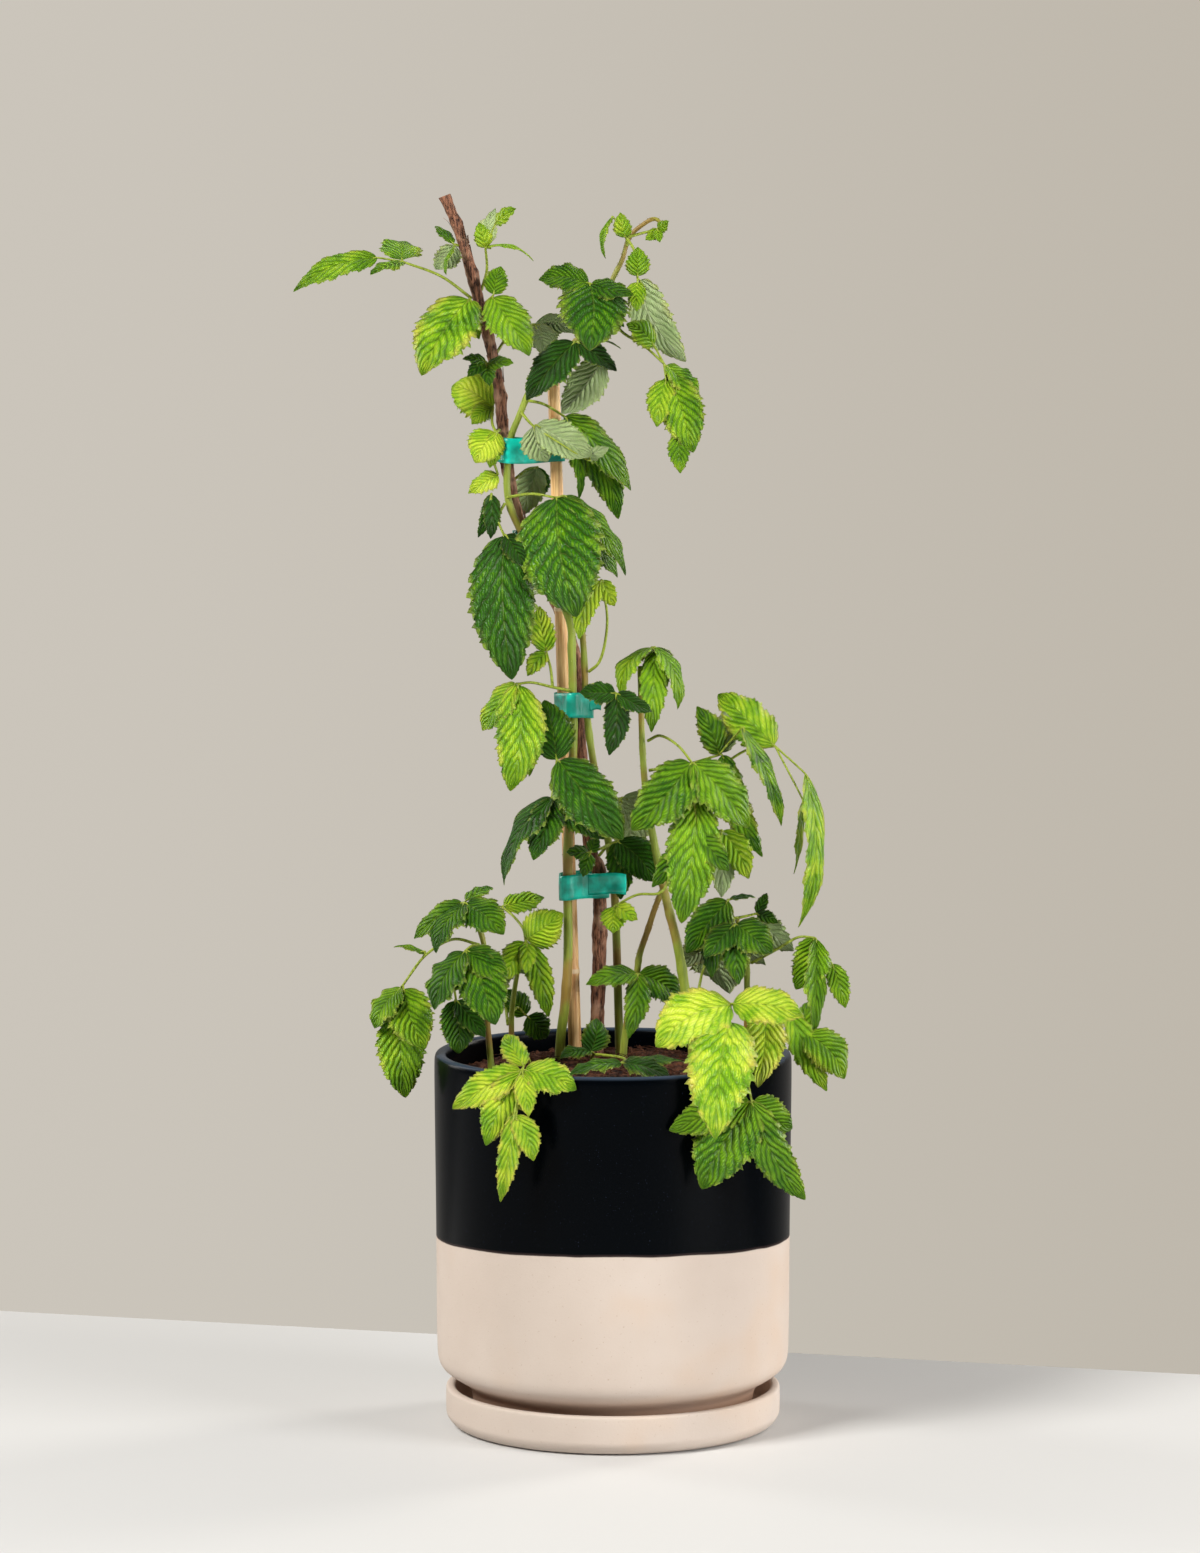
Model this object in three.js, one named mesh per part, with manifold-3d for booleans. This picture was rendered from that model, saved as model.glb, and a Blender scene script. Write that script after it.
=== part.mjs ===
// A young raspberry plant tied to a bamboo stake, in a two-tone stoneware pot on its saucer.
// Millimetres, +Z up, origin at the centre of the saucer's underside, -Y is the front.
import * as THREE from 'three';
import { mergeVertices } from 'three/addons/utils/BufferGeometryUtils.js';
import Module from 'manifold-3d';

const wasm = await Module();
wasm.setup();

// Driving dimensions.
const potRimRadius = 89.5;
const potBodyRadius = 88.5;
const potHeight = 188;
const potWall = 6.5;
const footRadius = 70;
const drainRadius = 8;
const saucerRadius = 84;
const saucerContactRadius = 77;
const saucerHeight = 20;
const saucerWall = 5;
const saucerFloor = 6;
const restGap = 0.3;
const glazeLine = 100;
const soilEdgeHeight = 176;
const soilCentreHeight = 184;
const soilFloor = 14.4;
const tapeHeight = 12.5;
const tapeThickness = 0.8;
const tapeSlack = 0.9;
const leafThickness = 1.2;
const petioleRadius = 0.8;
const joinedWithin = 2;
const hubRadius = 1.4;
const roundSegments = 36;

const group = new THREE.Group();

const finishes = {
  glazed: new THREE.MeshStandardMaterial({ color: 0x10131c, roughness: 0.35, metalness: 0 }),
  clay: new THREE.MeshStandardMaterial({ color: 0xe9dacb, roughness: 0.85, metalness: 0 }),
  soil: new THREE.MeshStandardMaterial({ color: 0x3a2018, roughness: 1, metalness: 0 }),
  bamboo: new THREE.MeshStandardMaterial({ color: 0xd9b07c, roughness: 0.6, metalness: 0 }),
  bark: new THREE.MeshStandardMaterial({ color: 0x6e4637, roughness: 0.8, metalness: 0 }),
  greenStem: new THREE.MeshStandardMaterial({ color: 0x93a046, roughness: 0.6, metalness: 0 }),
  tape: new THREE.MeshStandardMaterial({ color: 0x00a08a, roughness: 0.4, metalness: 0 }),
  leaf: new THREE.MeshStandardMaterial({ color: 0x4f8228, roughness: 0.6, metalness: 0 }),
};

// A geometry becomes a manifold solid once only positions are left and shared corners are merged.
function toSolid(geometry) {
  const plain = geometry.index ? geometry.clone() : geometry;
  plain.deleteAttribute('normal');
  plain.deleteAttribute('uv');
  const merged = mergeVertices(plain, 1e-4);
  return new wasm.Manifold(new wasm.Mesh({
    numProp: 3,
    vertProperties: new Float32Array(merged.attributes.position.array),
    triVerts: new Uint32Array(merged.index.array),
  }));
}

function toGeometry(solid) {
  const mesh = solid.getMesh();
  const geometry = new THREE.BufferGeometry();
  geometry.setAttribute('position', new THREE.BufferAttribute(new Float32Array(mesh.vertProperties), 3));
  geometry.setIndex(new THREE.BufferAttribute(new Uint32Array(mesh.triVerts), 1));
  geometry.computeVertexNormals();
  return geometry;
}

function addNode(name, geometry, finish) {
  const mesh = new THREE.Mesh(geometry, finishes[finish].clone());
  mesh.name = name;
  group.add(mesh);
}

// A profile of [radius, height] points turned about the Z axis.
function turned(profile, segments = roundSegments) {
  const points = profile.map(([radius, height]) => new THREE.Vector2(radius, height));
  const geometry = new THREE.LatheGeometry(points, segments);
  geometry.rotateX(Math.PI / 2);
  return geometry;
}

// A round stem that tapers: a ring square to a smooth curve at each point, closed by a fan at each end.
function taperedStem(points, radii, sides, grow = 0) {
  const curve = new THREE.CatmullRomCurve3(points.map((p) => new THREE.Vector3(...p)), false, 'centripetal');
  const steps = points.length - 1;
  const positions = [];
  const across = new THREE.Vector3(0.6, 0.8, 0.1);
  for (let i = 0; i <= steps; i += 1) {
    const along = i / steps;
    const tangent = curve.getTangent(along);
    across.addScaledVector(tangent, -across.dot(tangent)).normalize();
    const second = new THREE.Vector3().crossVectors(tangent, across);
    const radius = grow + THREE.MathUtils.lerp(radii[0], radii[1], along);
    for (let k = 0; k < sides; k += 1) {
      const angle = (2 * Math.PI * k) / sides;
      const corner = curve.getPoint(along)
        .addScaledVector(across, radius * Math.cos(angle))
        .addScaledVector(second, radius * Math.sin(angle));
      positions.push(corner.x, corner.y, corner.z);
    }
  }
  const first = curve.getPoint(0);
  const last = curve.getPoint(1);
  positions.push(first.x, first.y, first.z, last.x, last.y, last.z);
  const startCentre = (steps + 1) * sides;
  const index = [];
  for (let k = 0; k < sides; k += 1) {
    const next = (k + 1) % sides;
    for (let i = 0; i < steps; i += 1) {
      const a = i * sides + k;
      const b = i * sides + next;
      index.push(a, b, b + sides, a, b + sides, a + sides);
    }
    index.push(startCentre, next, k);
    index.push(startCentre + 1, steps * sides + k, steps * sides + next);
  }
  const geometry = new THREE.BufferGeometry();
  geometry.setAttribute('position', new THREE.BufferAttribute(new Float32Array(positions), 3));
  geometry.setIndex(index);
  return geometry;
}

// Saucer: a shallow dish with a rounded rim, flat underneath.
const saucerProfile = [
  [0, 0],
  [saucerContactRadius, 0],
  [saucerContactRadius + 4, 1.5],
  [saucerRadius - 0.6, 5],
  [saucerRadius, 9],
  [saucerRadius, saucerHeight - 3],
  [saucerRadius - 1, saucerHeight - 0.6],
  [saucerRadius - saucerWall / 2, saucerHeight],
  [saucerRadius - saucerWall + 0.6, saucerHeight - 0.8],
  [saucerRadius - saucerWall, saucerHeight - 3],
  [saucerRadius - saucerWall - 1, saucerFloor + 3],
  [saucerRadius - saucerWall - 4, saucerFloor],
  [0, saucerFloor],
];
addNode('saucer', turned(saucerProfile), 'clay');

// Pot: one thrown wall, glazed above the line and bare clay below, on a narrower foot with a drain hole.
const potInner = potRimRadius - potWall;
const footHeight = saucerFloor + restGap;
const potProfile = [
  [drainRadius, footHeight],
  [footRadius, footHeight],
  [footRadius + 0.5, 16],
  [footRadius + 3, 20],
  [77, 24],
  [82, 27.5],
  [86.4, 32.5],
  [potBodyRadius, 40],
  [potBodyRadius + 0.3, glazeLine],
  [potRimRadius, potHeight - 8],
  [potRimRadius - 0.6, potHeight - 2.6],
  [potRimRadius - 2.2, potHeight - 0.4],
  [potRimRadius - 3.6, potHeight],
  [potInner + 1, potHeight - 1.2],
  [potInner, potHeight - 4],
  [potBodyRadius - potWall, 60],
  [78, 34],
  [70, 18],
  [footRadius - 6, 14],
  [drainRadius, 14],
  [drainRadius, footHeight],
];
addNode('pot', turned(potProfile), 'glazed');

// Bamboo stake and canes, each a list of points from below the soil to the tip.
const stems = [
  {
    name: 'bamboo_stake', finish: 'bamboo', radii: [3.5, 3], sides: 10,
    points: [[-18.5, 8.4, 150], [-19, 8, 187], [-24.3, 5, 355], [-29.5, 2, 522]],
  },
  {
    name: 'woody_cane', finish: 'bark', radii: [3.6, 2.4], sides: 8,
    points: [[-8, 12, 150], [-8, 12, 192], [-6.5, 12, 270], [-11.5, 12, 290], [-16.5, 12.5, 343],
      [-20, 13, 388], [-28.5, 12, 413], [-37, 8, 426], [-42.5, 5, 441], [-49, 3, 463], [-53, 2, 484],
      [-54.5, 2, 498], [-57.5, 2, 526], [-66.5, 1, 563], [-74, 0, 591], [-83, 0, 614.5]],
  },
  {
    name: 'green_cane_tall', finish: 'greenStem', radii: [2.6, 1], sides: 7,
    points: [[-26, 1, 150], [-26.5, 1, 189], [-24, -2, 213], [-22.5, -3, 238], [-22.5, -3, 288],
      [-20, -4, 338], [-20, -4, 363], [-20.5, -4, 388], [-22, -5, 406], [-35, -7, 432], [-48, -7, 454],
      [-52.5, -6, 470], [-51, -6, 493], [-46.5, -7, 506], [-40, -7, 521], [-32.5, -6, 532],
      [-17.5, -3, 544], [-6.5, 0, 558], [0, 2, 574], [4.5, 3, 583], [8, 4, 594], [15, 4, 600.5],
      [21, 4, 603], [26, 4, 598]],
  },
  {
    name: 'green_cane_second', finish: 'greenStem', radii: [2.2, 1.4], sides: 7,
    points: [[5, 25, 150], [3, 24, 200], [1, 22, 262], [-2, 16, 290], [-6, 7, 312], [-11, 2, 341],
      [-13.5, 1, 364], [-14.5, 1, 388], [-16.5, 1, 413], [-18, 1, 433]],
  },
  {
    name: 'right_cane', finish: 'greenStem', radii: [2.7, 1.5], sides: 8,
    points: [[42, 4, 150], [40, 3, 191], [35.5, 2, 223], [32, 0, 243], [27.5, 0, 261], [23.5, -2, 279],
      [19.5, -4, 299], [16.5, -5, 318], [15, -5, 334], [14, -4, 357], [13.5, -3, 382]],
  },
  {
    name: 'thin_cane', finish: 'greenStem', radii: [1.9, 1.4], sides: 6,
    points: [[4, 14, 150], [5.5, 13, 189], [9.5, 12, 213], [12, 12, 226], [13.5, 12, 236],
      [17.5, 12, 248], [21, 11, 259], [24.5, 11, 268]],
  },
  {
    name: 'shoot_left', finish: 'greenStem', radii: [1.7, 1.2], sides: 6,
    points: [[-58, -8, 150], [-61.5, -10, 190], [-63, -12, 210], [-64, -14, 242], [-70, -15, 262]],
  },
  {
    name: 'shoot_left_inner', finish: 'greenStem', radii: [1.6, 1.1], sides: 6,
    points: [[-50, 12, 150], [-51, 10, 196], [-50, 6, 214], [-46, 0, 238]],
  },
  {
    name: 'shoot_right', finish: 'greenStem', radii: [1.7, 1.2], sides: 6,
    points: [[66, 6, 150], [67, 4, 190], [67, 0, 228], [66.5, -2, 238], [62, -3, 255]],
  },
];
for (const stem of stems) {
  addNode(stem.name, taperedStem(stem.points, stem.radii, stem.sides), stem.finish);
}

// Soil: a domed fill of dark fibre, a hair smaller than the pot inside, with each stem's hole through it.
const soilProfile = [
  [0, soilFloor],
  [footRadius - 7.5, soilFloor],
  [69, 18.5],
  [77.2, 34.5],
  [potBodyRadius - potWall - 0.8, 60],
  [potInner - 0.8, soilEdgeHeight - 3],
  [potInner - 2, soilEdgeHeight],
  [62, soilEdgeHeight + 3.5],
  [34, soilCentreHeight - 1],
  [0, soilCentreHeight],
];
let soil = toSolid(turned(soilProfile));
for (const stem of stems) {
  soil = soil.subtract(toSolid(taperedStem(stem.points, stem.radii, stem.sides, restGap)));
}
addNode('soil', toGeometry(soil), 'soil');

// Convex outline round a list of [x, y] points, anticlockwise.
function convexOutline(points) {
  const sorted = [...points].sort((p, q) => p[0] - q[0] || p[1] - q[1]);
  const turn = (o, a, b) => (a[0] - o[0]) * (b[1] - o[1]) - (a[1] - o[1]) * (b[0] - o[0]);
  const chain = (list) => {
    const kept = [];
    for (const p of list) {
      while (kept.length > 1 && turn(kept[kept.length - 2], kept[kept.length - 1], p) <= 0) kept.pop();
      kept.push(p);
    }
    return kept.slice(0, -1);
  };
  return [...chain(sorted), ...chain(sorted.reverse())];
}

// The outline of a loop pulled round several stems, each a circle [x, y, radius] grown by an offset.
function loopOutline(circles, offset) {
  const corners = 12;
  const rim = circles.flatMap(([x, y, radius]) => Array.from({ length: corners }, (unused, k) => {
    const angle = (2 * Math.PI * k) / corners;
    return [x + (radius + offset) * Math.cos(angle), y + (radius + offset) * Math.sin(angle)];
  }));
  return convexOutline(rim).map(([x, y]) => new THREE.Vector2(x, y));
}

// Tape ties: each is a flat loop round its stems, some with a free end that stands off as a flag.
const ties = [
  { name: 'tie_upper', z: 483, circles: [[-53, 2, 3], [-54.4, 2, 3], [-51.5, -6, 2.1], [-28.7, 2.6, 3.2]] },
  {
    name: 'tie_second', z: 436,
    circles: [[-40.8, 6.3, 3], [-45.4, 4.4, 3], [-37, -7.2, 2.3], [-45.6, -7.2, 2.3], [-27, 3.6, 3.3]],
  },
  {
    name: 'tie_middle', z: 356, flag: [-8, -1.4, 5, 7],
    circles: [[-24.5, 5, 3.3], [-20, -4, 2.4], [-13.4, 1, 2.2], [-18.1, 12.7, 3.3]],
  },
  {
    name: 'tie_lower', z: 265, flag: [-2.8, 0.5, 18.7, 10],
    circles: [[-22, 6.4, 3.5], [-22.5, -3, 2.6], [-7.2, 12, 3.9]],
  },
];
for (const tie of ties) {
  const outline = new THREE.Shape(loopOutline(tie.circles, tapeSlack + tapeThickness));
  outline.holes.push(new THREE.Path(loopOutline(tie.circles, tapeSlack)));
  const band = new THREE.ExtrudeGeometry(outline, { depth: tapeHeight, bevelEnabled: false });
  band.translate(0, 0, tie.z);
  let solid = toSolid(band);
  if (tie.flag) {
    const [x, y, length, height] = tie.flag;
    const flag = new THREE.BoxGeometry(length, tapeThickness, height);
    flag.translate(x, y, tie.z + tapeHeight / 2);
    solid = solid.add(toSolid(flag));
  }
  addNode(tie.name, toGeometry(solid), 'tape');
}

// Which way a leaflet's upper face looks.
const faces = {
  front: [0, -1, 0.25],
  frontUp: [0, -0.8, 0.7],
  up: [0, -0.3, 1],
  left: [-0.9, -0.6, 0.3],
  right: [0.9, -0.6, 0.3],
  leftUp: [-0.6, -0.4, 0.8],
  rightUp: [0.6, -0.4, 0.8],
  under: [0.15, 1, -0.35],
  back: [0, 1, 0.3],
  backUp: [0, 0.7, 0.8],
};

// Leaves, from the top down. A leaf is its node, its stalk from cane to hub, and its leaflets:
// [base, tip, width, face, arch]. Leaves of one node grow side by side from the same stretch of cane.
const leaves = [
  ['leaf_far_left', [[-70, 0, 564], [-85, -6, 575], [-103.5, -10, 582]], [
    [[-116, -12, 584], [-158, -16, 570], 15, 'frontUp', 3],
    [[-104, -9, 583], [-107, 22, 595], 20, 'up', 1],
    [[-104, -12, 582], [-119, -24, 577], 14, 'up', 1]]],
  ['leaf_cane_tip', [[-76.6, -1, 590], [-78, -4, 590.5]], [
    [[-78, -4, 590], [-87.5, -12, 577.5], 13, 'under', 1],
    [[-78, -6, 590], [-83.5, -22, 577], 8, 'left', 1],
    [[-79, -3, 591], [-88, 8, 600.5], 7, 'up', 1]]],
  ['leaf_cane_tip_right', [[-65.2, 2.5, 568], [-62.5, 4, 578], [-63, -3, 589]], [
    [[-63, -3, 589], [-66, -8, 601], 9, 'front', 1],
    [[-61, -1, 592], [-58, 10, 607], 9, 'under', 1],
    [[-58, -3, 601], [-48.5, -8, 608.5], 9, 'frontUp', 1],
    [[-63, -4, 589], [-39, -9, 585], 7, 'up', 3]]],
  ['leaf_upper_left', [[-69.2, 0, 559], [-71, -6, 564]], [
    [[-71, -7, 563.5], [-94.5, -26, 528.5], 31, 'frontUp', 3],
    [[-70, -8, 563], [-66, -16, 544.5], 11, 'front', 1]]],
  ['leaf_upper_right', [[-62.8, -1, 562], [-59.5, -7, 565]], [
    [[-59.5, -8, 564.5], [-41, -22, 537.5], 23, 'frontUp', 2],
    [[-59, -7, 566], [-55.5, -3, 580], 12, 'frontUp', 1]]],
  ['leaf_cane_knot', [[-60, -1, 533], [-62.5, -5, 532]], [
    [[-62, -6, 532], [-49.5, -12, 533], 9, 'frontUp', 1],
    [[-63, -5, 533], [-74, -8, 535], 8, 'frontUp', 1],
    [[-63.5, -6, 532], [-71.5, -14, 526], 7, 'front', 1],
    [[-62.5, -7, 531], [-61, -15, 522], 8, 'front', 1]]],
  ['leaf_low_knot', [[-58, -8, 498], [-60, 0, 503], [-59.5, 7, 510]], [
    [[-59.5, 8, 510], [-81, 16, 521], 23, 'front', 2],
    [[-60, 7, 509], [-70, 2, 502], 10, 'front', 1]]],
  ['leaf_low_knot', [[-56.2, -2, 499], [-58, -8, 498]], [
    [[-58, -8, 498], [-68, -14, 484], 18, 'front', 1],
    [[-57.5, -9, 498], [-61, -12, 481], 10, 'front', 1]]],
  ['leaf_low_knot', [[-58, -8, 498], [-60, -7, 488], [-57, -5, 477]], [
    [[-57, -5, 477], [-72, -8, 469], 13, 'frontUp', 1]]],
  ['leaf_behind_tie', [[-49.4, 6, 474], [-43, 11, 479], [-38, 14, 480]], [
    [[-38, 14, 480], [-46.5, 13, 455], 16, 'under', 1],
    [[-37.5, 15, 480], [-38, 20, 463], 10, 'front', 1]]],
  ['leaf_top_tip', [[7, 1.5, 590], [6.5, -2, 594]], [
    [[0, -1, 604], [-5, -4, 584], 6, 'left', 3],
    [[6, -3, 594], [3.5, -8, 606], 9, 'front', 1]]],
  ['leaf_top_tip', [[6.5, -2, 594], [11, -5, 586], [12, -5, 574]], [
    [[12, -6, 575], [12, -11, 589], 12, 'front', 1],
    [[13, -4, 573], [35, 10, 534], 20, 'under', 3],
    [[12, -7, 572], [11.5, -14, 558.5], 10, 'front', 1]]],
  ['leaf_top_tip', [[6.5, -2, 594], [14, -1, 596], [22, -1, 598]], [
    [[22, -1, 598], [16, -4, 593], 6, 'front', 0.5],
    [[22, -1, 598.5], [27, -6, 602], 6, 'front', 0.5],
    [[22, -2, 598], [23, -6, 592], 5, 'front', 0.5]]],
  ['leaf_top_middle', [[-6.5, -2, 561], [-8, -4, 567], [-11.5, -5, 571.5]], [
    [[-12, -5, 571.5], [-36.5, -7, 574.5], 18, 'frontUp', 2],
    [[-11.5, -6, 571], [-11.5, -30, 541], 34, 'frontUp', 3],
    [[-11, -5, 571], [9.5, -16, 567], 15, 'frontUp', 1],
    [[-10.5, -6, 570.5], [5, -22, 551], 11, 'front', 1]]],
  ['leaf_arched', [[-21.5, -6.3, 542], [-18, -12, 543]], [
    [[-19, -12.5, 542.5], [-43.5, -20, 515.5], 22, 'frontUp', 2],
    [[-6, -9, 533], [-25, -14, 507], 20, 'under', 2],
    [[-18, -11, 543], [2, -14, 529], 13, 'frontUp', 2],
    [[-17, -11, 543], [4, -8, 541], 9, 'up', 2]]],
  ['leaf_hanging_right', [[-3.8, -1, 560], [4, -6, 548], [15, -8, 541], [25, -9, 532]], [
    [[20, -9, 541], [7, -12, 552], 15, 'frontUp', 1],
    [[26, -9, 531], [43, -10, 517], 14, 'right', 1],
    [[27.5, -10, 526], [39.5, -20, 489], 22, 'front', 3],
    [[26, -12, 524], [21.5, -20, 502], 14, 'front', 1],
    [[32, -16, 498], [33, -22, 479], 11, 'front', 1]]],
  ['leaf_pale_twist', [[-45.3, -9, 508], [-42, -13, 504], [-39, -14, 501]], [
    [[-39.5, -14, 501], [-32, -20, 483.5], 16, 'under', 1],
    [[-38, -16, 502], [-10, -31, 486], 18, 'under', 2],
    [[-14, -30, 486], [-2, -28, 491], 7, 'under', 1]]],
  ['leaf_dark_arch', [[-43, -9.4, 514], [-34, -12, 512], [-24, -11, 506]], [
    [[-24, -11, 506], [11, -8, 471], 21, 'frontUp', 2],
    [[-24, -9, 505], [4, 0, 454], 19, 'front', 3],
    [[-23, -13, 505], [-14, -12, 466], 14, 'right', 2]]],
  ['leaf_centre', [[-52.5, -9, 466], [-40, -14, 468], [-28, -14, 466]], [
    [[-28, -15, 466], [-18, -30, 409], 42, 'front', 5],
    [[-24, -13, 467], [7.5, -17, 429], 18, 'right', 4],
    [[-24, -11, 466], [5.5, -4, 428], 20, 'right', 2],
    [[-29, -15, 465], [-41, -18, 443], 11, 'front', 1]]],
  ['leaf_below_centre', [[-12, -0.6, 379], [-7, -5, 384], [-4, -7, 394], [-3, -8, 408], [-6, -9, 425]], [
    [[-6, -10, 425], [-17, -13, 396], 12, 'front', 1],
    [[-5.5, -9, 425], [1, -8, 412], 9, 'front', 1]]],
  ['leaf_left_dark', [[-53.6, -9, 463], [-57, -14, 456], [-54, -17, 448]], [
    [[-54, -18, 447.5], [-50, -22, 376.5], 33, 'front', 4],
    [[-53, -19, 448], [-43, -24, 433], 12, 'front', 1]]],
  ['leaf_left_dark', [[-57, -14, 456], [-61, -13, 462], [-60, -12, 468]], [
    [[-60, -12, 467.5], [-60.5, -16, 446], 9, 'front', 1],
    [[-60.5, -11, 467.5], [-67, -9, 446], 7, 'front', 1]]],
  ['leaf_droop_left', [[-30, -10, 372], [-31, -9, 381], [-33, -8, 389]], [
    [[-33, -8, 389.5], [-36.5, -9, 412], 13, 'front', 1],
    [[-33, -9, 389], [-42.5, -12, 378], 9, 'front', 1]]],
  ['leaf_droop_left', [[-21.5, -7.3, 370], [-30, -10, 372], [-40, -13, 374.5], [-47, -14, 374]], [
    [[-47, -15, 373.5], [-51, -24, 322], 25, 'front', 3],
    [[-48, -13, 374], [-66, -10, 351], 19, 'left', 2],
    [[-46, -14, 373], [-37.5, -15, 328.5], 12, 'right', 1]]],
  ['leaf_five_part', [[-20.6, -7.4, 347], [-23, -13, 344], [-28, -17, 336]], [
    [[-28, -17, 336.5], [-34, -13, 366], 21, 'front', 1],
    [[-27, -18, 336], [5.5, -34, 300], 28, 'frontUp', 4],
    [[-30.5, -18, 318], [-57, -26, 277], 27, 'left', 4],
    [[-30.5, -19, 317], [-39.5, -36, 290], 18, 'frontUp', 2],
    [[-29.5, -18, 317.5], [-3.5, -24, 299.5], 18, 'frontUp', 1]]],
  ['leaf_three_part', [[-12.2, -1.4, 372], [-6, -14, 374], [1.5, -24, 370]], [
    [[1, -24.5, 370], [-16.5, -26, 371.5], 14, 'frontUp', 1],
    [[2, -25, 370], [19.5, -26, 362], 11, 'frontUp', 1],
    [[1.5, -25.5, 369.5], [-2, -32, 340.5], 13, 'front', 1]]],
  ['leaf_hoops', [[14, -2.5, 384.5], [17, -2, 389], [20, 0, 391]], [
    [[19, -0.5, 391], [3, -12, 368], 14, 'leftUp', 5],
    [[21, 1, 391], [34, -8, 362], 16, 'rightUp', 6],
    [[21, -1, 389], [19, -16, 351], 14, 'front', 5],
    [[20.5, 1.5, 391], [27, 22, 372], 14, 'backUp', 3]]],
  ['leaf_big_three_part', [[17.3, -6.4, 345], [23.5, -12, 348], [32, -22, 344], [39, -30, 336]], [
    [[38.5, -30.5, 336], [8.5, -36, 304], 28, 'frontUp', 3],
    [[40, -31, 336], [68.5, -34, 306], 26, 'frontUp', 3],
    [[41.5, -33, 319], [33.5, -46, 259], 26, 'front', 3],
    [[40, -38, 300], [19, -42, 276], 13, 'front', 1],
    [[41, -38, 302], [57, -42, 284], 13, 'front', 1]]],
  ['leaf_behind_right', [[17.9, -4, 330], [35, 2, 332], [53, 4, 337]], [
    [[53, 4, 337.5], [42, -2, 361.5], 14, 'front', 1],
    [[54, 5, 338], [56, 10, 358], 14, 'under', 1],
    [[64, -4, 351], [85.5, -12, 304], 14, 'right', 2],
    [[54.5, 3.5, 337], [74.5, -6, 287], 16, 'front', 2]]],
  ['leaf_far_right', [[19, -2.4, 322], [45, 14, 325], [66, 15, 338], [81, 8, 341]], [
    [[80.5, 8, 341.5], [53.5, 14, 368], 23, 'frontUp', 2],
    [[96, 4, 327.5], [97.5, -14, 253], 17, 'right', 4],
    [[95, 5, 314], [92, 4, 277], 9, 'right', 2]]],
  ['leaf_under_big', [[25, -5, 286], [38, -2, 296], [54, -4, 300]], [
    [[54.5, -5, 300], [67.5, -12, 277], 15, 'front', 1],
    [[54, -6, 299.5], [54.5, -8, 267], 15, 'under', 2]]],
  ['leaf_mid_shade', [[-7, 7.8, 286], [-2, 4, 292], [3, 2, 294]], [
    [[2.5, 2, 294], [21, 7, 273], 19, 'front', 1],
    [[2, 3, 293.5], [4, 10, 263], 14, 'front', 1]]],
  ['leaf_mid_shade', [[-2, 4, 292], [-6, -5, 291], [-11.5, -14, 290]], [
    [[-12, -14.5, 290], [-23, -17, 291], 9, 'frontUp', 1],
    [[-11.5, -15, 289.5], [-15, -18, 278.5], 8, 'front', 1],
    [[-11, -15, 290.5], [-7, -15, 297], 7, 'front', 1]]],
  ['leaf_under_big', [[25, -5, 286], [27.5, -7.5, 276], [23, -8, 269], [12, -7, 268], [1, -3, 262]], [
    [[0.5, -3.5, 261.5], [0, -8, 249], 13, 'front', 1],
    [[2, -4, 262], [12, -10, 256], 9, 'front', 1]]],
  ['leaf_low_right', [[60, -6, 256], [57, -10, 266]], [
    [[57, -11, 265.5], [36, -22, 241.5], 20, 'frontUp', 2],
    [[58, -10, 266], [71, -6, 268], 6, 'up', 1],
    [[56.5, -12, 265], [49, -19, 228], 15, 'front', 1]]],
  ['leaf_low_right', [[60, -6, 256], [60, -14, 254], [60, -22, 255]], [
    [[59.5, -22.5, 254.5], [45, -33, 241], 15, 'frontUp', 1],
    [[60, -23, 254], [62, -35, 227.5], 15, 'front', 1],
    [[61, -22, 255], [79, -28, 242], 21, 'frontUp', 2]]],
  ['leaf_low_right', [[60, -6, 256], [66, -5, 257], [72, -1, 258]], [
    [[72, -1, 258], [77, 2, 268], 6, 'front', 1],
    [[72, -2, 257.5], [82, -6, 254], 7, 'front', 1],
    [[73, 0, 257], [90, 2, 239], 14, 'under', 1]]],
  ['leaf_right_edge', [[69.2, -1, 233], [82, -8, 241], [92, -10, 247], [100, -11, 247]], [
    [[100, -11.5, 246.5], [91, -19, 222.5], 19, 'front', 1],
    [[101, -12, 246.5], [103, -22, 200.5], 17, 'right', 2],
    [[109, -12, 234], [116, -14, 212], 11, 'front', 1]]],
  ['leaf_right_rim', [[69.2, 1, 205], [80, -20, 200], [95.5, -24, 201]], [
    [[88, -22, 211], [106, -31, 173], 15, 'front', 1],
    [[96, -25, 200.5], [116, -26, 179], 22, 'frontUp', 2],
    [[95, -24, 202], [98, -14, 216.5], 9, 'front', 1]]],
  ['leaf_yellow_front', [[42, 0, 205], [48, -28, 222], [57.5, -58, 220]], [
    [[57, -59, 220], [20.5, -72, 202], 31, 'frontUp', 3],
    [[58.5, -60, 220.5], [93, -66, 217], 21, 'frontUp', 3],
    [[57, -64, 212], [49, -103, 163.5], 33, 'frontUp', 5]]],
  ['leaf_yellow_front', [[57.5, -58, 220], [66, -50, 219], [75, -40, 214]], [
    [[75, -41, 213.5], [71, -62, 181.5], 21, 'frontUp', 2]]],
  ['leaf_front_low_right', [[46, -5, 182.5], [56, -50, 195], [62, -76, 199], [67, -88, 177]], [
    [[67, -88, 176.5], [42.5, -91, 134], 30, 'front', 2],
    [[66, -88, 176.5], [27, -91, 163], 19, 'front', 1],
    [[68, -87, 176.5], [88, -82, 162], 18, 'front', 1],
    [[67, -89, 176], [94.5, -87, 127], 19, 'front', 2]]],
  ['leaf_front_left', [[-40, -30, 182.8], [-42, -60, 194], [-44, -84, 192]], [
    [[-45, -85, 191.5], [-79, -86, 174], 18, 'frontUp', 2],
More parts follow.
